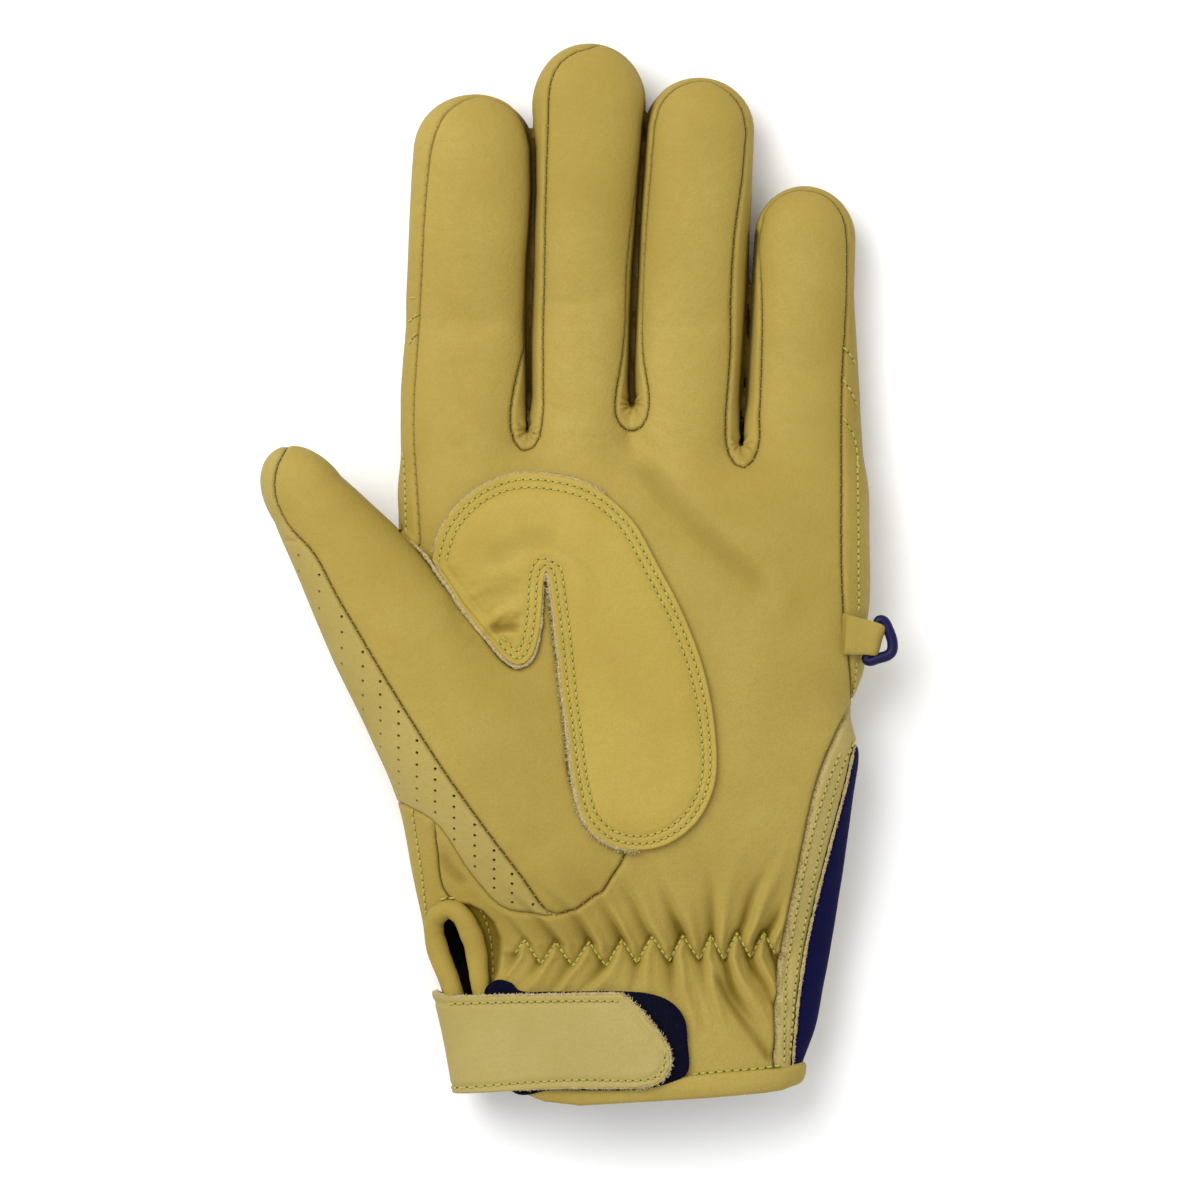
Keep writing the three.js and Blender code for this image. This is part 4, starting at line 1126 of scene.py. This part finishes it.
def leather_material(name, base, light, dark, roughness=0.58):
    """Smooth leather: soft mottling, fine pores, dark seam lines with painted shade beside them and in
    the clefts, painted shade in the folds, raw suede borders.
    """
    material, tree, shader, place = new_material(name)
    fine = cloud(tree, place, 420, 4, 0.6)
    tone = mix(tree, ramp(tree, cloud(tree, place, 24), 0.35, 0.7), dark, light)
    tone = mix(tree, 0.5, tone, base)
    tone = mix(tree, ramp(tree, fine, 0.4, 0.75, 0, 0.2), tone, dark)
    grain = cloud(tree, place, 2200, 4, 0.7)
    tone = mix(tree, ramp(tree, grain, 0.45, 0.7, 0, 0.5), tone, dark)
    # Painted shade in the folds, creases and the vent's recess
    tone = mix(tree, ramp(tree, share_of(tree, "fold"), 0.25, 1, 0, 0.95), tone, FOLD_SHADE_COLOUR)
    # A dark line along the seams with painted shade beside it, and painted shade deep in the clefts
    tone = mix(tree, ramp(tree, share_of(tree, "seam_line_and_shade"), 0, 1, 0, 0.9), tone, SEAM_LINE_AND_SHADE_COLOUR)
    fibre = cloud(tree, place, 1900, 5, 0.75)
    suede = mix(tree, ramp(tree, fibre, 0.36, 0.56), SUEDE_DARK, SUEDE_LIGHT)
    pores = node(tree, "ShaderNodeTexVoronoi", {"Vector": place, "Scale": 1600})
    first = bump(tree, pores.outputs["Distance"], 0.15, 0.0002)
    set_inputs(tree, shader, {
        "Base Color": mix(tree, share_of(tree, "raw"), tone, suede),
        "Roughness": ramp(tree, fine, 0.3, 0.8, roughness - 0.06, roughness + 0.1),
        "Specular IOR Level": 0.13,
        "Normal": bump(tree, cloud(tree, place, 800, 5, 0.65), 0.5, 0.0003, first),
    })
    return material


def suede_material(name, base, light):
    """The raw cut edge of leather: pale, rough and fibrous."""
    material, tree, shader, place = new_material(name)
    fibres = cloud(tree, place, 2300, 4, 0.7)
    set_inputs(tree, shader, {
        "Base Color": mix(tree, ramp(tree, fibres, 0.35, 0.65), base, light),
        "Roughness": 0.95,
        "Sheen Weight": 0.3,
        "Normal": bump(tree, fibres, 0.9, 0.0004),
    })
    return material


def wave(tree, place, scale, direction, distortion=1.5):
    values = {"Vector": place, "Scale": scale, "Distortion": distortion, "Detail": 2}
    return node(tree, "ShaderNodeTexWave", values, bands_direction=direction).outputs[0]


def knit_material(name, base, light, scale, sheen, lint):
    """Dark knit with fine ribs and some paler lint on it."""
    material, tree, shader, place = new_material(name)
    both = mix(tree, 0.5, wave(tree, place, scale, "X"), wave(tree, place, 0.8 * scale, "Y"))
    tone = mix(tree, both, base, light)
    tone = mix(tree, ramp(tree, cloud(tree, place, 160), 0.4, 0.8, 0, 0.5), tone, base)
    specks = ramp(tree, cloud(tree, place, 1300, 5, 0.8), 0.56, 0.7, 0, lint)
    set_inputs(tree, shader, {
        "Base Color": mix(tree, specks, tone, [5 * c for c in light[:3]] + [1]),
        "Roughness": 0.85,
        "Specular IOR Level": 0.07,
        "Sheen Weight": sheen,
        "Sheen Tint": (0.1, 0.12, 0.5, 1),
        "Normal": bump(tree, both, 0.5, 0.0002),
    })
    return material


def thread_material(name, dark, light):
    material, tree, shader, place = new_material(name)
    twist = wave(tree, place, 1400, "DIAGONAL", 2)
    tone = mix(tree, twist, dark, light)
    worn = ramp(tree, cloud(tree, place, 300), 0.4, 0.7, 0, 0.5)
    set_inputs(tree, shader, {
        "Base Color": mix(tree, worn, tone, dark),
        "Roughness": 0.6,
        "Normal": bump(tree, twist, 0.6, 0.0001),
    })
    return material


def coated_material():
    material, tree, shader, place = new_material("ring_navy")
    fine = cloud(tree, place, 700)
    set_inputs(tree, shader, {
        "Base Color": mix(tree, fine, (0.003, 0.003, 0.026, 1), (0.008, 0.007, 0.06, 1)),
        "Roughness": 0.42,
        "Specular IOR Level": 0.16,
        "Normal": bump(tree, fine, 0.15, 0.0002),
    })
    return material


# Colour of the painted shade in the folds, creases and the vent's recess
FOLD_SHADE_COLOUR = (0.125, 0.080, 0.002, 1)
# Colour of the seams' dark line, of the painted shade beside it and of the painted shade in the clefts
SEAM_LINE_AND_SHADE_COLOUR = (0.080, 0.046, 0.003, 1)
SUEDE_DARK = (0.16, 0.10, 0.026, 1)
SUEDE_LIGHT = (0.46, 0.365, 0.15, 1)
LEATHER_TAN = leather_material(
    "leather_tan", (0.335, 0.247, 0.053, 1), (0.39, 0.296, 0.074, 1), (0.275, 0.190, 0.031, 1)
)
LEATHER_PALE = leather_material(
    "leather_pale", (0.355, 0.285, 0.095, 1), (0.40, 0.325, 0.12, 1), (0.30, 0.23, 0.062, 1), 0.65
)
LEATHER_PERFORATED = leather_material(
    "leather_perforated", (0.35, 0.27, 0.077, 1), (0.39, 0.31, 0.10, 1),
    (0.29, 0.215, 0.05, 1), 0.65
)
LEATHER_PATCH = leather_material(
    "leather_patch", (0.375, 0.275, 0.055, 1), (0.425, 0.32, 0.074, 1), (0.31, 0.215, 0.034, 1)
)
SUEDE = suede_material("suede_edge", (0.24, 0.165, 0.05, 1), (0.52, 0.42, 0.18, 1))
LINING = knit_material("lining_dark", (0.008, 0.006, 0.006, 1), (0.018, 0.013, 0.010, 1), 900, 0, 0)
KNIT = knit_material(
    "stretch_knit", (0.002, 0.002, 0.022, 1), (0.005, 0.0046, 0.054, 1), 1500, 0.03, 0.12
)
LOOPS = knit_material(
    "loop_pile", (0.0004, 0.0004, 0.003, 1), (0.003, 0.003, 0.016, 1), 700, 0, 0.5
)
THREAD = thread_material("thread_yellow_green", (0.27, 0.235, 0.025, 1), (0.50, 0.465, 0.09, 1))
SEAM_THREAD = thread_material("thread_olive", (0.16, 0.11, 0.012, 1), (0.30, 0.22, 0.035, 1))
# Painted shade: flat dark marks that stand for the shade in the needle holes
NEEDLE_HOLE_SHADE = thread_material("needle_hole_shade", (0.045, 0.032, 0.002, 1), (0.09, 0.065, 0.006, 1))
RING_COAT = coated_material()

# Panels of another material or slot than the palm's
PANEL_LOOKS = {
    "thumb_back": (LEATHER_PERFORATED, "perforated_leather"),
    "side_placket": (LEATHER_PALE, "patch_leather"),
    "stretch_gusset": (KNIT, "stretch_fabric"),
    "back_panel": (LEATHER_TAN, "back_leather"),
}


def cleft_share(points):
    """1 deep between two fingers, 0 away from there."""
    shade = np.zeros(len(points))
    for cleft in CLEFTS:
        away = plan_distance(points, np.array(cleft), reach=4)
        shade = np.maximum(shade, 1 - smooth_step(away, 0.5, 1.7))
    return shade * (1 - smooth_step(points[:, 2], 11.5, 17))


def seam_darkness():
    """How strong the seams' dark line and painted shade are: less for the seams that are hidden or
    pressed flat.
    """
    dark = np.ones(len(points))
    for name in ("strip_lower", "index_outer"):
        line = plan_distance(points, smooth_path(SEAM[name], 2), reach=4)
        dark = np.minimum(dark, np.where(line < 1.5, 0.25, 1))
    return dark


def make_panels():
    placket_edge = smooth_path(SEAM["placket_inner"], 1)
    strip = np.interp(points[:, 1], RAW_STRIP[:, 0], RAW_STRIP[:, 1])
    strip += 0.2 * noise(points, 1.5)
    raw = 1 - smooth_step(plan_distance(points, placket_edge, reach=6) - strip, -0.2, 0.2)
    raw *= smooth_step(-points[:, 1], 28, 34)
    columns = np.column_stack([points, normals, height, away, raw, seam_darkness()])
    for number, name in enumerate(PANEL_NAMES):
        data, faces = part_of(columns, tris, label == number)
        at, square, lift, edge, bare, dark = np.split(data, (3, 6, 7, 8, 9), axis=1)
        sink = PLACKET_SINK * bare if name == "side_placket" else 0
        deep = cleft_share(at)[:, None]
        outer = at + square * (lift - turned_edge(edge) * (1 - deep) - sink)
        outer[:, 2] = np.maximum(outer[:, 2], FLOOR_Z)
        thick = INNER_WALL * (1 - WEB_THINNING * deep)
        inner = at + square * (np.minimum(lift, 0) - thick)
        verts, polygons, kinds = walled(outer, inner, faces)
        look, slot = PANEL_LOOKS.get(name, (LEATHER_TAN, "palm_leather"))
        # The seams' dark line with painted shade beside it, and painted shade deep between the fingers
        seam_line_and_shade = np.maximum(dark * (1 - np.clip(edge / SEAM_SHADE_WIDTH, 0, 1)), deep).ravel()
        add_object(
            name + "_skin", verts, polygons, (look, LINING, look), kinds, slot,
            stands_for=(name,), limit=PANEL_LIMIT,
            columns={
                "seam_line_and_shade": np.tile(seam_line_and_shade, 2),
                # Painted shade in the folds, creases and the vent's recess
                "fold": np.tile(fold_shade(at, square), 2),
                "raw": np.tile(bare.ravel() * (name == "side_placket"), 2),
            },
        )


# Threads, fibres and other thin round pieces, many in one mesh
def tubes(paths, up, radii, sides=8, flat=1.0, closed=False):
    """Corners and faces of many tubes, given as arrays of (tube, point) places."""
    if closed:
        along = unit(np.roll(paths, -1, axis=1) - np.roll(paths, 1, axis=1))
    else:
        along = unit(np.gradient(paths, axis=1))
    side = unit(np.cross(along, up))
    rise = np.cross(side, along)
    angle = np.linspace(0, 2 * np.pi, sides, endpoint=False)[None, None, :, None]
    ring = np.cos(angle) * side[:, :, None] + flat * np.sin(angle) * rise[:, :, None]
    verts = paths[:, :, None] + radii[:, :, None, None] * ring
    number = np.arange(radii.size * sides).reshape(*radii.shape, sides)
    start = number if closed else number[:, :-1]
    end = np.roll(number, -1, axis=1) if closed else number[:, 1:]
    quads = np.stack([start, end, np.roll(end, -1, 2), np.roll(start, -1, 2)], -1)
    faces = quads.reshape(-1, 4).tolist()
    if not closed:
        faces += number[:, 0].tolist() + number[:, -1, ::-1].tolist()
    return verts.reshape(-1, 3), faces


def joined(parts):
    """One mesh's corners and faces from several."""
    verts, faces, count = [], [], 0
    for v, f in parts:
        verts.append(v)
        faces += [[i + count for i in face] for face in f]
        count += len(v)
    return np.vstack(verts), faces


def on_surface(xy, height_of):
    """Places on an outside above places in plan, with the ways up from it."""
    at = skin_top(xy.reshape(-1, 2))
    square = gradient(at)
    at = at + square * height_of(at, square)[:, None]
    shape = (*xy.shape[:-1], 3)
    return at.reshape(shape), square.reshape(shape)


def spaced(path, pitch):
    """The lengths along a path in plan, and those of the middles of even steps."""
    length = lengths_of(path)
    count = max(int(round(length[-1] / pitch)), 1)
    return length, (np.arange(count) + 0.5) * length[-1] / count


def heading(path, length, at, ahead):
    """Unit ways along a path, and their squares to the right."""
    way = unit(places_on(path, length, at + ahead) - places_on(path, length, at))
    return way, np.column_stack([way[:, 1], -way[:, 0]])


def stitch_row(path, height_of, size):
    """Thread lying on the leather between needle holes, as (threads, flat dark marks of painted shade
    at the holes).
    """
    length, middles = spaced(path, size["pitch"])
    reach = np.array((-0.5, -0.28, 0, 0.28, 0.5)) * size["length"]
    s = (middles[:, None] + reach).clip(0, length[-1])
    at, square = on_surface(places_on(path, length, s), height_of)
    r = size["radius"]
    dip = np.array((-0.9, 0.3, 0.55, 0.3, -0.9)) * r
    radii = np.tile(np.array((0.6, 0.95, 1, 0.95, 0.6)) * r, (len(s), 1))
    threads = tubes(at + square * dip[:, None], square, radii)
    # Flat dark marks in the gaps between stitches: painted shade of the needle holes
    gap = (s[1:, 0] + s[:-1, -1]) / 2
    gap_reach = np.array((-0.3, -0.1, 0.1, 0.3)) * (size["pitch"] - size["length"] + 0.25)
    h = (gap[:, None] + gap_reach).clip(0, length[-1])
    at, square = on_surface(places_on(path, length, h), height_of)
    radii = np.tile(np.array((0.4, 1, 1, 0.4)) * 0.95 * r, (len(h), 1))
    return threads, tubes(at + square * 0.02, square, radii, flat=0.25)


def add_stitches(name, paths, height_of, slot="patch_leather", size=STITCH, thread=THREAD):
    """Rows of stitches as one object, with the painted shade of their needle holes as another."""
    threads, needle_hole_shades = zip(*(stitch_row(path, height_of, size) for path in paths))
    add_object(name + "_thread", *joined(threads), (thread,), None, slot)
    add_object(name + "_hole_shades", *joined(needle_hole_shades), (NEEDLE_HOLE_SHADE,), None, slot)


def fringe(name, path, height_of, reach, per_mm, slot, thick, seed):
    """A raw suede edge: a lumpy strip of flesh with loose curled fibres along it."""
    length, places = spaced(path, 1 / per_mm)
    random = np.random.RandomState(seed)
    xy = places_on(path, length, places)
    ahead, outward = heading(path, length, places, 0.3)
    turn = random.normal(0, 0.8, len(xy))
    way = outward * np.cos(turn)[:, None] + ahead * np.sin(turn)[:, None]
    across = np.column_stack([-way[:, 1], way[:, 0]])
    long = reach * (0.3 + random.rand(len(xy)) ** 2.5)
    share = np.linspace(0, 1, 5)
    curl = 0.28 * np.sin(4 * share + random.rand(len(xy), 1) * 6.3) * share
    at, _ = on_surface(xy, height_of)
    flat = at[:, None, :2] + long[:, None, None] * (
        share[:, None] * way[:, None] + curl[:, :, None] * across[:, None]
    )
    rise = random.uniform(-0.7, 0.35, (len(xy), 1)) * long[:, None] * share
    paths = np.concatenate([flat, (at[:, 2:3] + rise)[:, :, None]], axis=2)
    radii = np.tile(np.array((0.14, 0.13, 0.11, 0.08, 0.04)), (len(xy), 1))
    hairs = tubes(paths, UP, radii, sides=4)
    along = np.arange(0, length[-1], 0.3)
    at, square = on_surface(places_on(path, length, along), height_of)
    lumps = thick * (1 + 0.45 * noise(at + seed, 0.8) + 0.25 * noise(at + 9, 0.35))
    taper = along / 4 + 0.3
    lumps *= np.minimum(np.minimum(taper, taper[::-1]), 1)
    band = tubes(at[None], square[None], lumps[None])
    add_object(name + "_fibres", *joined([hairs, band]), (SUEDE,), None, slot)


# Layers that lie on the skin: the palm patch, the cuff's hem, the loop patch and the strap
def cut_layer(low, high, field_of, fine):
    """The part of the whole skin where a field is above zero, cut along lines beside its edge."""
    inside_box = ((skin_points > low) & (skin_points < high)).all(1)
    data, tris = part_of(skin_points, skin_tris, inside_box[skin_tris].all(1))
    data = np.column_stack([data, field_of(data)])
    data, tris = refine(data, tris, FINE_EDGE, lambda m: (m[:, 3] > -0.6) & (m[:, 3] < fine))
    data[:, 3] = field_of(data)
    for level in (0, *LAYER_LINES):
        data, tris = cut_level(data, tris, 3, level, snap=0.04)
    return part_of(data, tris, data[tris, 3].mean(1) > 0)


def rounded(edge, radius):
    """How far a rounded edge of this radius lies below the face."""
    return radius * (1 - np.sqrt(np.clip(1 - (1 - np.clip(edge / radius, 0, 1)) ** 2, 0, 1)))


def make_layer(name, box, field_of, base_of, top_of, looks, slot, round_edge, fine=5.0):
    """A layer between two heights above the skin, with its upper edge rounded."""
    data, tris = cut_layer(*box, field_of, fine)
    at = onto_skin(data[:, :3], 1)
    square = gradient(at)
    edge = data[:, 3]
    top = top_of(at, square)
    outer = at + square * (top - rounded(edge, round_edge))[:, None]
    inner = at + square * base_of(at, square)[:, None]
    for sheet in (outer, inner):
        sheet[:, 2] = np.maximum(sheet[:, 2], FLOOR_Z)
    verts, faces, kinds = walled(outer, inner, tris)
    # Painted shade in the layer's folds and creases
    fold = np.tile(fold_shade(at, square), 2)
    add_object(
        name + "_cover", verts, faces, looks, kinds, slot, stands_for=(name,),
        limit=PANEL_LIMIT, columns=leather_shares(len(verts), fold=fold),
    )


PATCH_LINE = smooth_path(PATCH_EDGE, 0.8, closed=True)
LOOP_LINE = smooth_path(LOOP_EDGE, 0.8, closed=True)
STRAP_LINE = np.array(STRAP_EDGE, float)


def row_inside(line, inset, step=0.4):
    """A closed line a set distance inside another, by contracting it along its normals."""
    ahead = unit(np.roll(line, -1, axis=0) - np.roll(line, 1, axis=0))
    area = np.sum(line[:, 0] * np.roll(line[:, 1], -1) - np.roll(line[:, 0], -1) * line[:, 1])
    inward = np.column_stack([-ahead[:, 1], ahead[:, 0]]) * np.sign(area)
    moved = line + inward * inset
    moved = moved[inside(moved, line, EDGE_REACH) > inset - 0.25]
    keep = [0]
    for i in range(1, len(moved)):
        if np.linalg.norm(moved[i] - moved[keep[-1]]) > step:
            keep.append(i)
    return smooth_path(moved[keep], step, closed=True)


def patch_top(at, square):
    """The patch's outside: pulled down along its two rows of stitches, puffed inside them."""
    edge = inside(at, PATCH_LINE, EDGE_REACH)
    rows = sum(np.exp(-((edge - inset) / 0.6) ** 2) for inset in PATCH_ROWS)
    puff = 0.45 * smooth_step(edge, PATCH_ROWS[1], PATCH_ROWS[1] + 4)
    return GAP + PATCH_THICK + 0.85 * relief(at, square) - 0.28 * rows + puff


def patch_base(at, square):
    return GAP + 0.85 * np.minimum(relief(at, square), 0.3) - 0.2


def strap_base(at, square):
    """How far the strap stands off the cuff: less where it wraps round the side."""
    return np.interp(at[:, 0], (-35, -31, -24), (0.5, 0.9, STRAP_LIFT)) + 0.35 * noise(at, 14)


def strap_top(at, square):
    row = np.exp(-((inside(at, STRAP_LINE, EDGE_REACH) - STRAP_ROW) / 0.55) ** 2)
    return strap_base(at, square) + LEATHER - 0.3 * row


def loop_top(at, square):
    proud = 0.3 * smooth_step(-at[:, 1], 115.5, 117)
    return GAP + LOOP_THICK + 0.3 * relief(at, square) + proud


def hem_share(at):
    """1 where the hem shows, less where the strap lies over it."""
    return 0.25 + 0.75 * smooth_step(at[:, 0], -19, -13)


def hem_top(at, square):
    roll = mouth_field(at)
    puff = 0.5 * np.exp(-((roll - 1.6) / 1.7) ** 2)
    return (0.15 + 1.1 * hem_share(at) + puff * hem_share(at)) + 0.12 * noise(at, 3)


def base_under(height):
    return lambda at, square: np.full(len(at), height)


def make_layers():
    make_layer(
        "palm_patch", ((-38, -68, 20), (36, 28, 40)),
        lambda p: inside(p, PATCH_LINE, EDGE_REACH),
        patch_base, patch_top, (LEATHER_PATCH, SUEDE, SUEDE), "patch_leather", 0.35, 6.0,
    )
    make_layer(
        "loop_patch", ((-26, -120, 14), (30, -88, 40)),
        lambda p: inside(p, LOOP_LINE, EDGE_REACH),
        base_under(GAP - 0.4), loop_top, (LOOPS,) * 3, "loop_fabric", 0.5, 1.0,
    )
    make_layer(
        "wrist_strap", ((-50, -126, 1.5), (26, -92, 40)),
        lambda p: np.minimum(inside(p, STRAP_LINE, EDGE_REACH), p[:, 2] - 2.2),
        strap_base, strap_top, (LEATHER_PALE, SUEDE, SUEDE), "strap_leather", 0.35, 3.5,
    )
    make_layer(
        "cuff_hem", ((-50, -130, -5), (60, -105, 40)),
        lambda p: np.interp(p[:, 0], *HEM_HALF) - np.abs(mouth_field(p) - HEM_MIDDLE),
        base_under(0.0), hem_top, (LEATHER_TAN,) * 3, "binding_leather", 1.1, 1.0,
    )


def make_binding():
    """The vent's rolled edge, a soft tube that flattens below the strap."""
    path = smooth_path(np.column_stack([VENT_PATH, VENT_WIDTH]), 0.5)
    at = skin_top(path[:, :2])
    width = path[:, 2]
    shown = smooth_step(path[:, 1], *VENT_SHOWN_Y)
    tall = VENT_FLAT + shown * (VENT_TALL * width - VENT_FLAT)
    puckered = width * (1 + 0.05 * noise(np.column_stack([path[:, :2], width]), 1.6))
    middle = at + np.column_stack([np.zeros((len(at), 2)), 0.2 + 0.25 * shown])
    verts, faces = tubes(middle[None], UP, puckered[None], VENT_SIDES)
    level = np.repeat(middle[:, 2], VENT_SIDES)
    verts[:, 2] = level + (verts[:, 2] - level) * np.repeat(tall / puckered, VENT_SIDES)
    add_object(
        "vent_binding_roll", uneven(verts, 0.1, 2.2), faces, (LEATHER_TAN,), None,
        "binding_leather", stands_for=("vent_binding",), columns=leather_shares(len(verts)),
    )


# The tab and its ring beside the little finger's side, in the ring's own plane
def ring_place(points):
    c, s = math.cos(RING["turn"]), math.sin(RING["turn"])
    x, y, z = points.T
    return np.array(RING["middle"]) + np.stack([c * x - s * y, s * x + c * y, z], 1)


def make_ring():
    flat = smooth_path(RING_LOOP, 0.25, closed=True)
    path = np.column_stack([flat[:, :2], np.zeros(len(flat))])
    verts, faces = tubes(path[None], UP, flat[None, :, 2], sides=24, closed=True)
    add_object(
        "side_ring_coat", ring_place(verts), faces, (RING_COAT,), None, "ring_plastic",
        body="ring", stands_for=("side_ring",),
    )


def make_tab():
    """A leather loop folded round the ring's bar, its two ends sewn down side by side."""
    eye = TAB["tunnel"] + TAB["wall"]
    side = np.array((TAB["slope"], 1)) / math.hypot(TAB["slope"], 1)
    tail = np.array((-TAB["tail"], TAB["tail"] * TAB["slope"]))
    start = math.atan2(-side[1], -side[0])
    turn = np.linspace(start, start + math.pi, 33)
    arc = np.column_stack([np.cos(turn), np.sin(turn)])

    def folded(reach, radius):
        """From one sewn end round the bar to the other, seen from the side."""
        low = np.linspace(tail - side * reach, arc[0] * radius, 9)
        high = np.linspace(arc[-1] * radius, tail + side * reach, 9)
        return np.vstack([low[:-1], arc * radius, high[1:]])

    outer = folded(TAB["wall"], eye)
    inner = folded(TAB["gap"], TAB["tunnel"])
    across = TAB["half"] * np.sin(np.linspace(-np.pi / 2, np.pi / 2, 23))
    n, rows = len(outer), len(across)
    worn = rounded(TAB["half"] - np.abs(across), 0.8)
    drop = (inner - outer) / np.linalg.norm(inner - outer, axis=1)[:, None]
    sheets = []
    for sheet, shift in ((outer, worn), (inner, np.zeros(rows))):
        lines = sheet[None] + drop[None] * shift[:, None, None]
        x = lines[:, :, 0]
        y = across[:, None] * (1 - TAB["taper"] * x) + TAB["sag"] * np.minimum(x, 0)
        x = x + TAB["skew"] * across[:, None] * np.minimum(x, 0) / TAB["tail"]
        sheets.append(np.stack([x, y, lines[:, :, 1]], -1).reshape(-1, 3))
    number = np.arange(rows * n).reshape(rows, n)
    quads = np.stack([number[:-1, :-1], number[:-1, 1:], number[1:, 1:], number[1:, :-1]], -1)
    quads = quads.reshape(-1, 4)
    triangles = np.vstack([quads[:, [0, 1, 2]], quads[:, [0, 2, 3]]])
    verts, faces, _ = walled(*sheets, triangles)
    verts = uneven(ring_place(verts), 0.12, 3)
    add_object(
        "ring_tab_loop", verts, faces, (LEATHER_TAN,), None, "patch_leather",
        stands_for=("ring_tab",), columns=leather_shares(len(verts)),
    )


# The visible stitching
def lifted(height):
    return lambda at, square: relief(at, square) + height


def smoothed(rows):
    return [smooth_path(row, 1) for row in rows]


def make_stitching():
    rows = []
    for inset in PATCH_ROWS:
        line = row_inside(PATCH_LINE, inset)
        hidden = plan_distance(line, np.array(THUMB_SIDE_EDGE[:5]), reach=6) < inset + 0.9
        start = np.flatnonzero(hidden & ~np.roll(hidden, -1))[-1] + 1
        rows.append(np.roll(line, -start, axis=0)[~np.roll(hidden, -start)])
    add_stitches("palm_patch", rows, patch_top)
    zigzag = np.vstack([
        np.linspace(a, b, 12, endpoint=False) for a, b in zip(ZIGZAG[:-1], ZIGZAG[1:])
    ] + [ZIGZAG[-1:]])
    add_stitches("gather", [zigzag], lifted(0.02), "palm_leather", GATHER_STITCH)
    add_stitches("strap", smoothed(STRAP_ROWS), strap_top)
    add_stitches("placket", smoothed(PLACKET_ROWS), lifted(0))
    add_stitches("hem", smoothed([HEM_ROW]), lifted(0.05), "palm_leather", HEM_STITCH)
    add_stitches("side", smoothed(SIDE_ROWS), lifted(0), "back_leather")
    add_stitches("vent", smoothed([VENT_ROW]), lifted(0.1))
    add_stitches("vent_seam", smoothed([VENT_SEAM_ROW]), lifted(0.05), thread=SEAM_THREAD)


def make_seam_threads():
    """Short threads that cross the sewn seams."""
    parts = []
    for name in ("index_outer", "index_middle", "middle_tip", "middle_ring", "ring_tip",
                 "ring_little", "little_outer", "thumb_outer", "thumb_inner"):
        path = smooth_path(SEAM[name], 0.5)
        length, places = spaced(path, SEAM_PITCH)
        _, across = heading(path, length, places, 0.4)
        reach = np.array((-0.55, -0.2, 0.2, 0.55))[:, None]
        spots = places_on(path, length, places)[:, None] + across[:, None] * reach
        at, square = on_surface(spots, lifted(0))
        shown = (at[:, :, 2] > FINGER_SEAM_Z + 0.5).all(1)
        at, square = at[shown], square[shown]
        depth = np.array((-0.75, -0.5, -0.5, -0.75))[:, None]
        radii = np.tile((0.12, 0.2, 0.2, 0.12), (len(at), 1))
        parts.append(tubes(at + square * depth, square, radii, sides=6))
    add_object("seam_threads", *joined(parts), (SEAM_THREAD,), None, "palm_leather")


def under(top):
    """Where a layer's raw edge lies, somewhat below its face."""
    return lambda at, square: top(at, square) - FIBRE_DROP


def make_fringes():
    x, y = PATCH_LINE.T
    leg = PATCH_LINE[(x > -8.2) & (x < 14) & (y < 0)]
    fringe("patch_leg", leg[::-1], under(patch_top), 1.1, 14, "patch_leather", 0.44, 3)
    top = PATCH_LINE[(y > 4) & (x < 6)]
    fringe("patch_top", top[::-1], under(patch_top), 0.8, 8, "patch_leather", 0.3, 4)
    thumb_side = smooth_path(THUMB_SIDE_EDGE, 0.4)
    fringe("patch_thumb", thumb_side, lifted(0.9), 0.4, 6, "patch_leather", 0.46, 5)
    for number, (row, reach) in enumerate(STRAP_FRINGES):
        path = smooth_path(row, 0.5)[::-1]
        name = f"strap_{number}"
        fringe(name, path, under(strap_top), reach, 13, "strap_leather", 0.36, 6 + number)
    edge = smooth_path(SEAM["placket_outer"], 0.5)
    edge = edge[edge[:, 1] > -114]
    fringe("placket", edge, lifted(0), 0.5, 9, "patch_leather", 0.36, 9)


make_panels()
make_layers()
make_binding()
make_ring()
make_tab()
make_stitching()
make_seam_threads()
make_fringes()


# Stage, light and camera
def make_stage():
    material, tree, shader, _ = new_material("floor_white")
    set_inputs(tree, shader, {"Base Color": (0.93, 0.93, 0.93, 1), "Roughness": 0.9})
    corners = [(x * FLOOR_HALF, y * FLOOR_HALF, 0) for x, y in ((-1, -1), (1, -1), (1, 1), (-1, 1))]
    mesh = bpy.data.meshes.new("floor")
    mesh.from_pydata(corners, [], [(0, 1, 2, 3)])
    mesh.materials.append(material)
    floor = bpy.data.objects.new("floor", mesh)
    bpy.context.scene.collection.objects.link(floor)


def make_lights():
    world = bpy.data.worlds.new("studio")
    world.use_nodes = True
    background = world.node_tree.nodes["Background"]
    background.inputs[0].default_value = (1, 1, 1, 1)
    background.inputs[1].default_value = WORLD_STRENGTH
    bpy.context.scene.world = world
    for name, (place, size, energy) in LIGHTS.items():
        light = bpy.data.lights.new(name, "AREA")
        light.size = size
        light.energy = energy
        obj = bpy.data.objects.new(name, light)
        obj.location = place
        obj.rotation_euler = (-Vector(place)).to_track_quat("-Z", "Y").to_euler()
        bpy.context.scene.collection.objects.link(obj)


def make_camera():
    camera = bpy.data.cameras.new("camera")
    camera.lens = LENS
    camera.sensor_width = SENSOR
    obj = bpy.data.objects.new("camera", camera)
    far = PICTURE_WIDTH * LENS / SENSOR
    obj.location = (*PICTURE_MIDDLE, PICTURE_HEIGHT + far)
    bpy.context.scene.collection.objects.link(obj)
    bpy.context.scene.camera = obj


make_stage()
make_lights()
make_camera()
bpy.context.scene.view_settings.view_transform = "Standard"
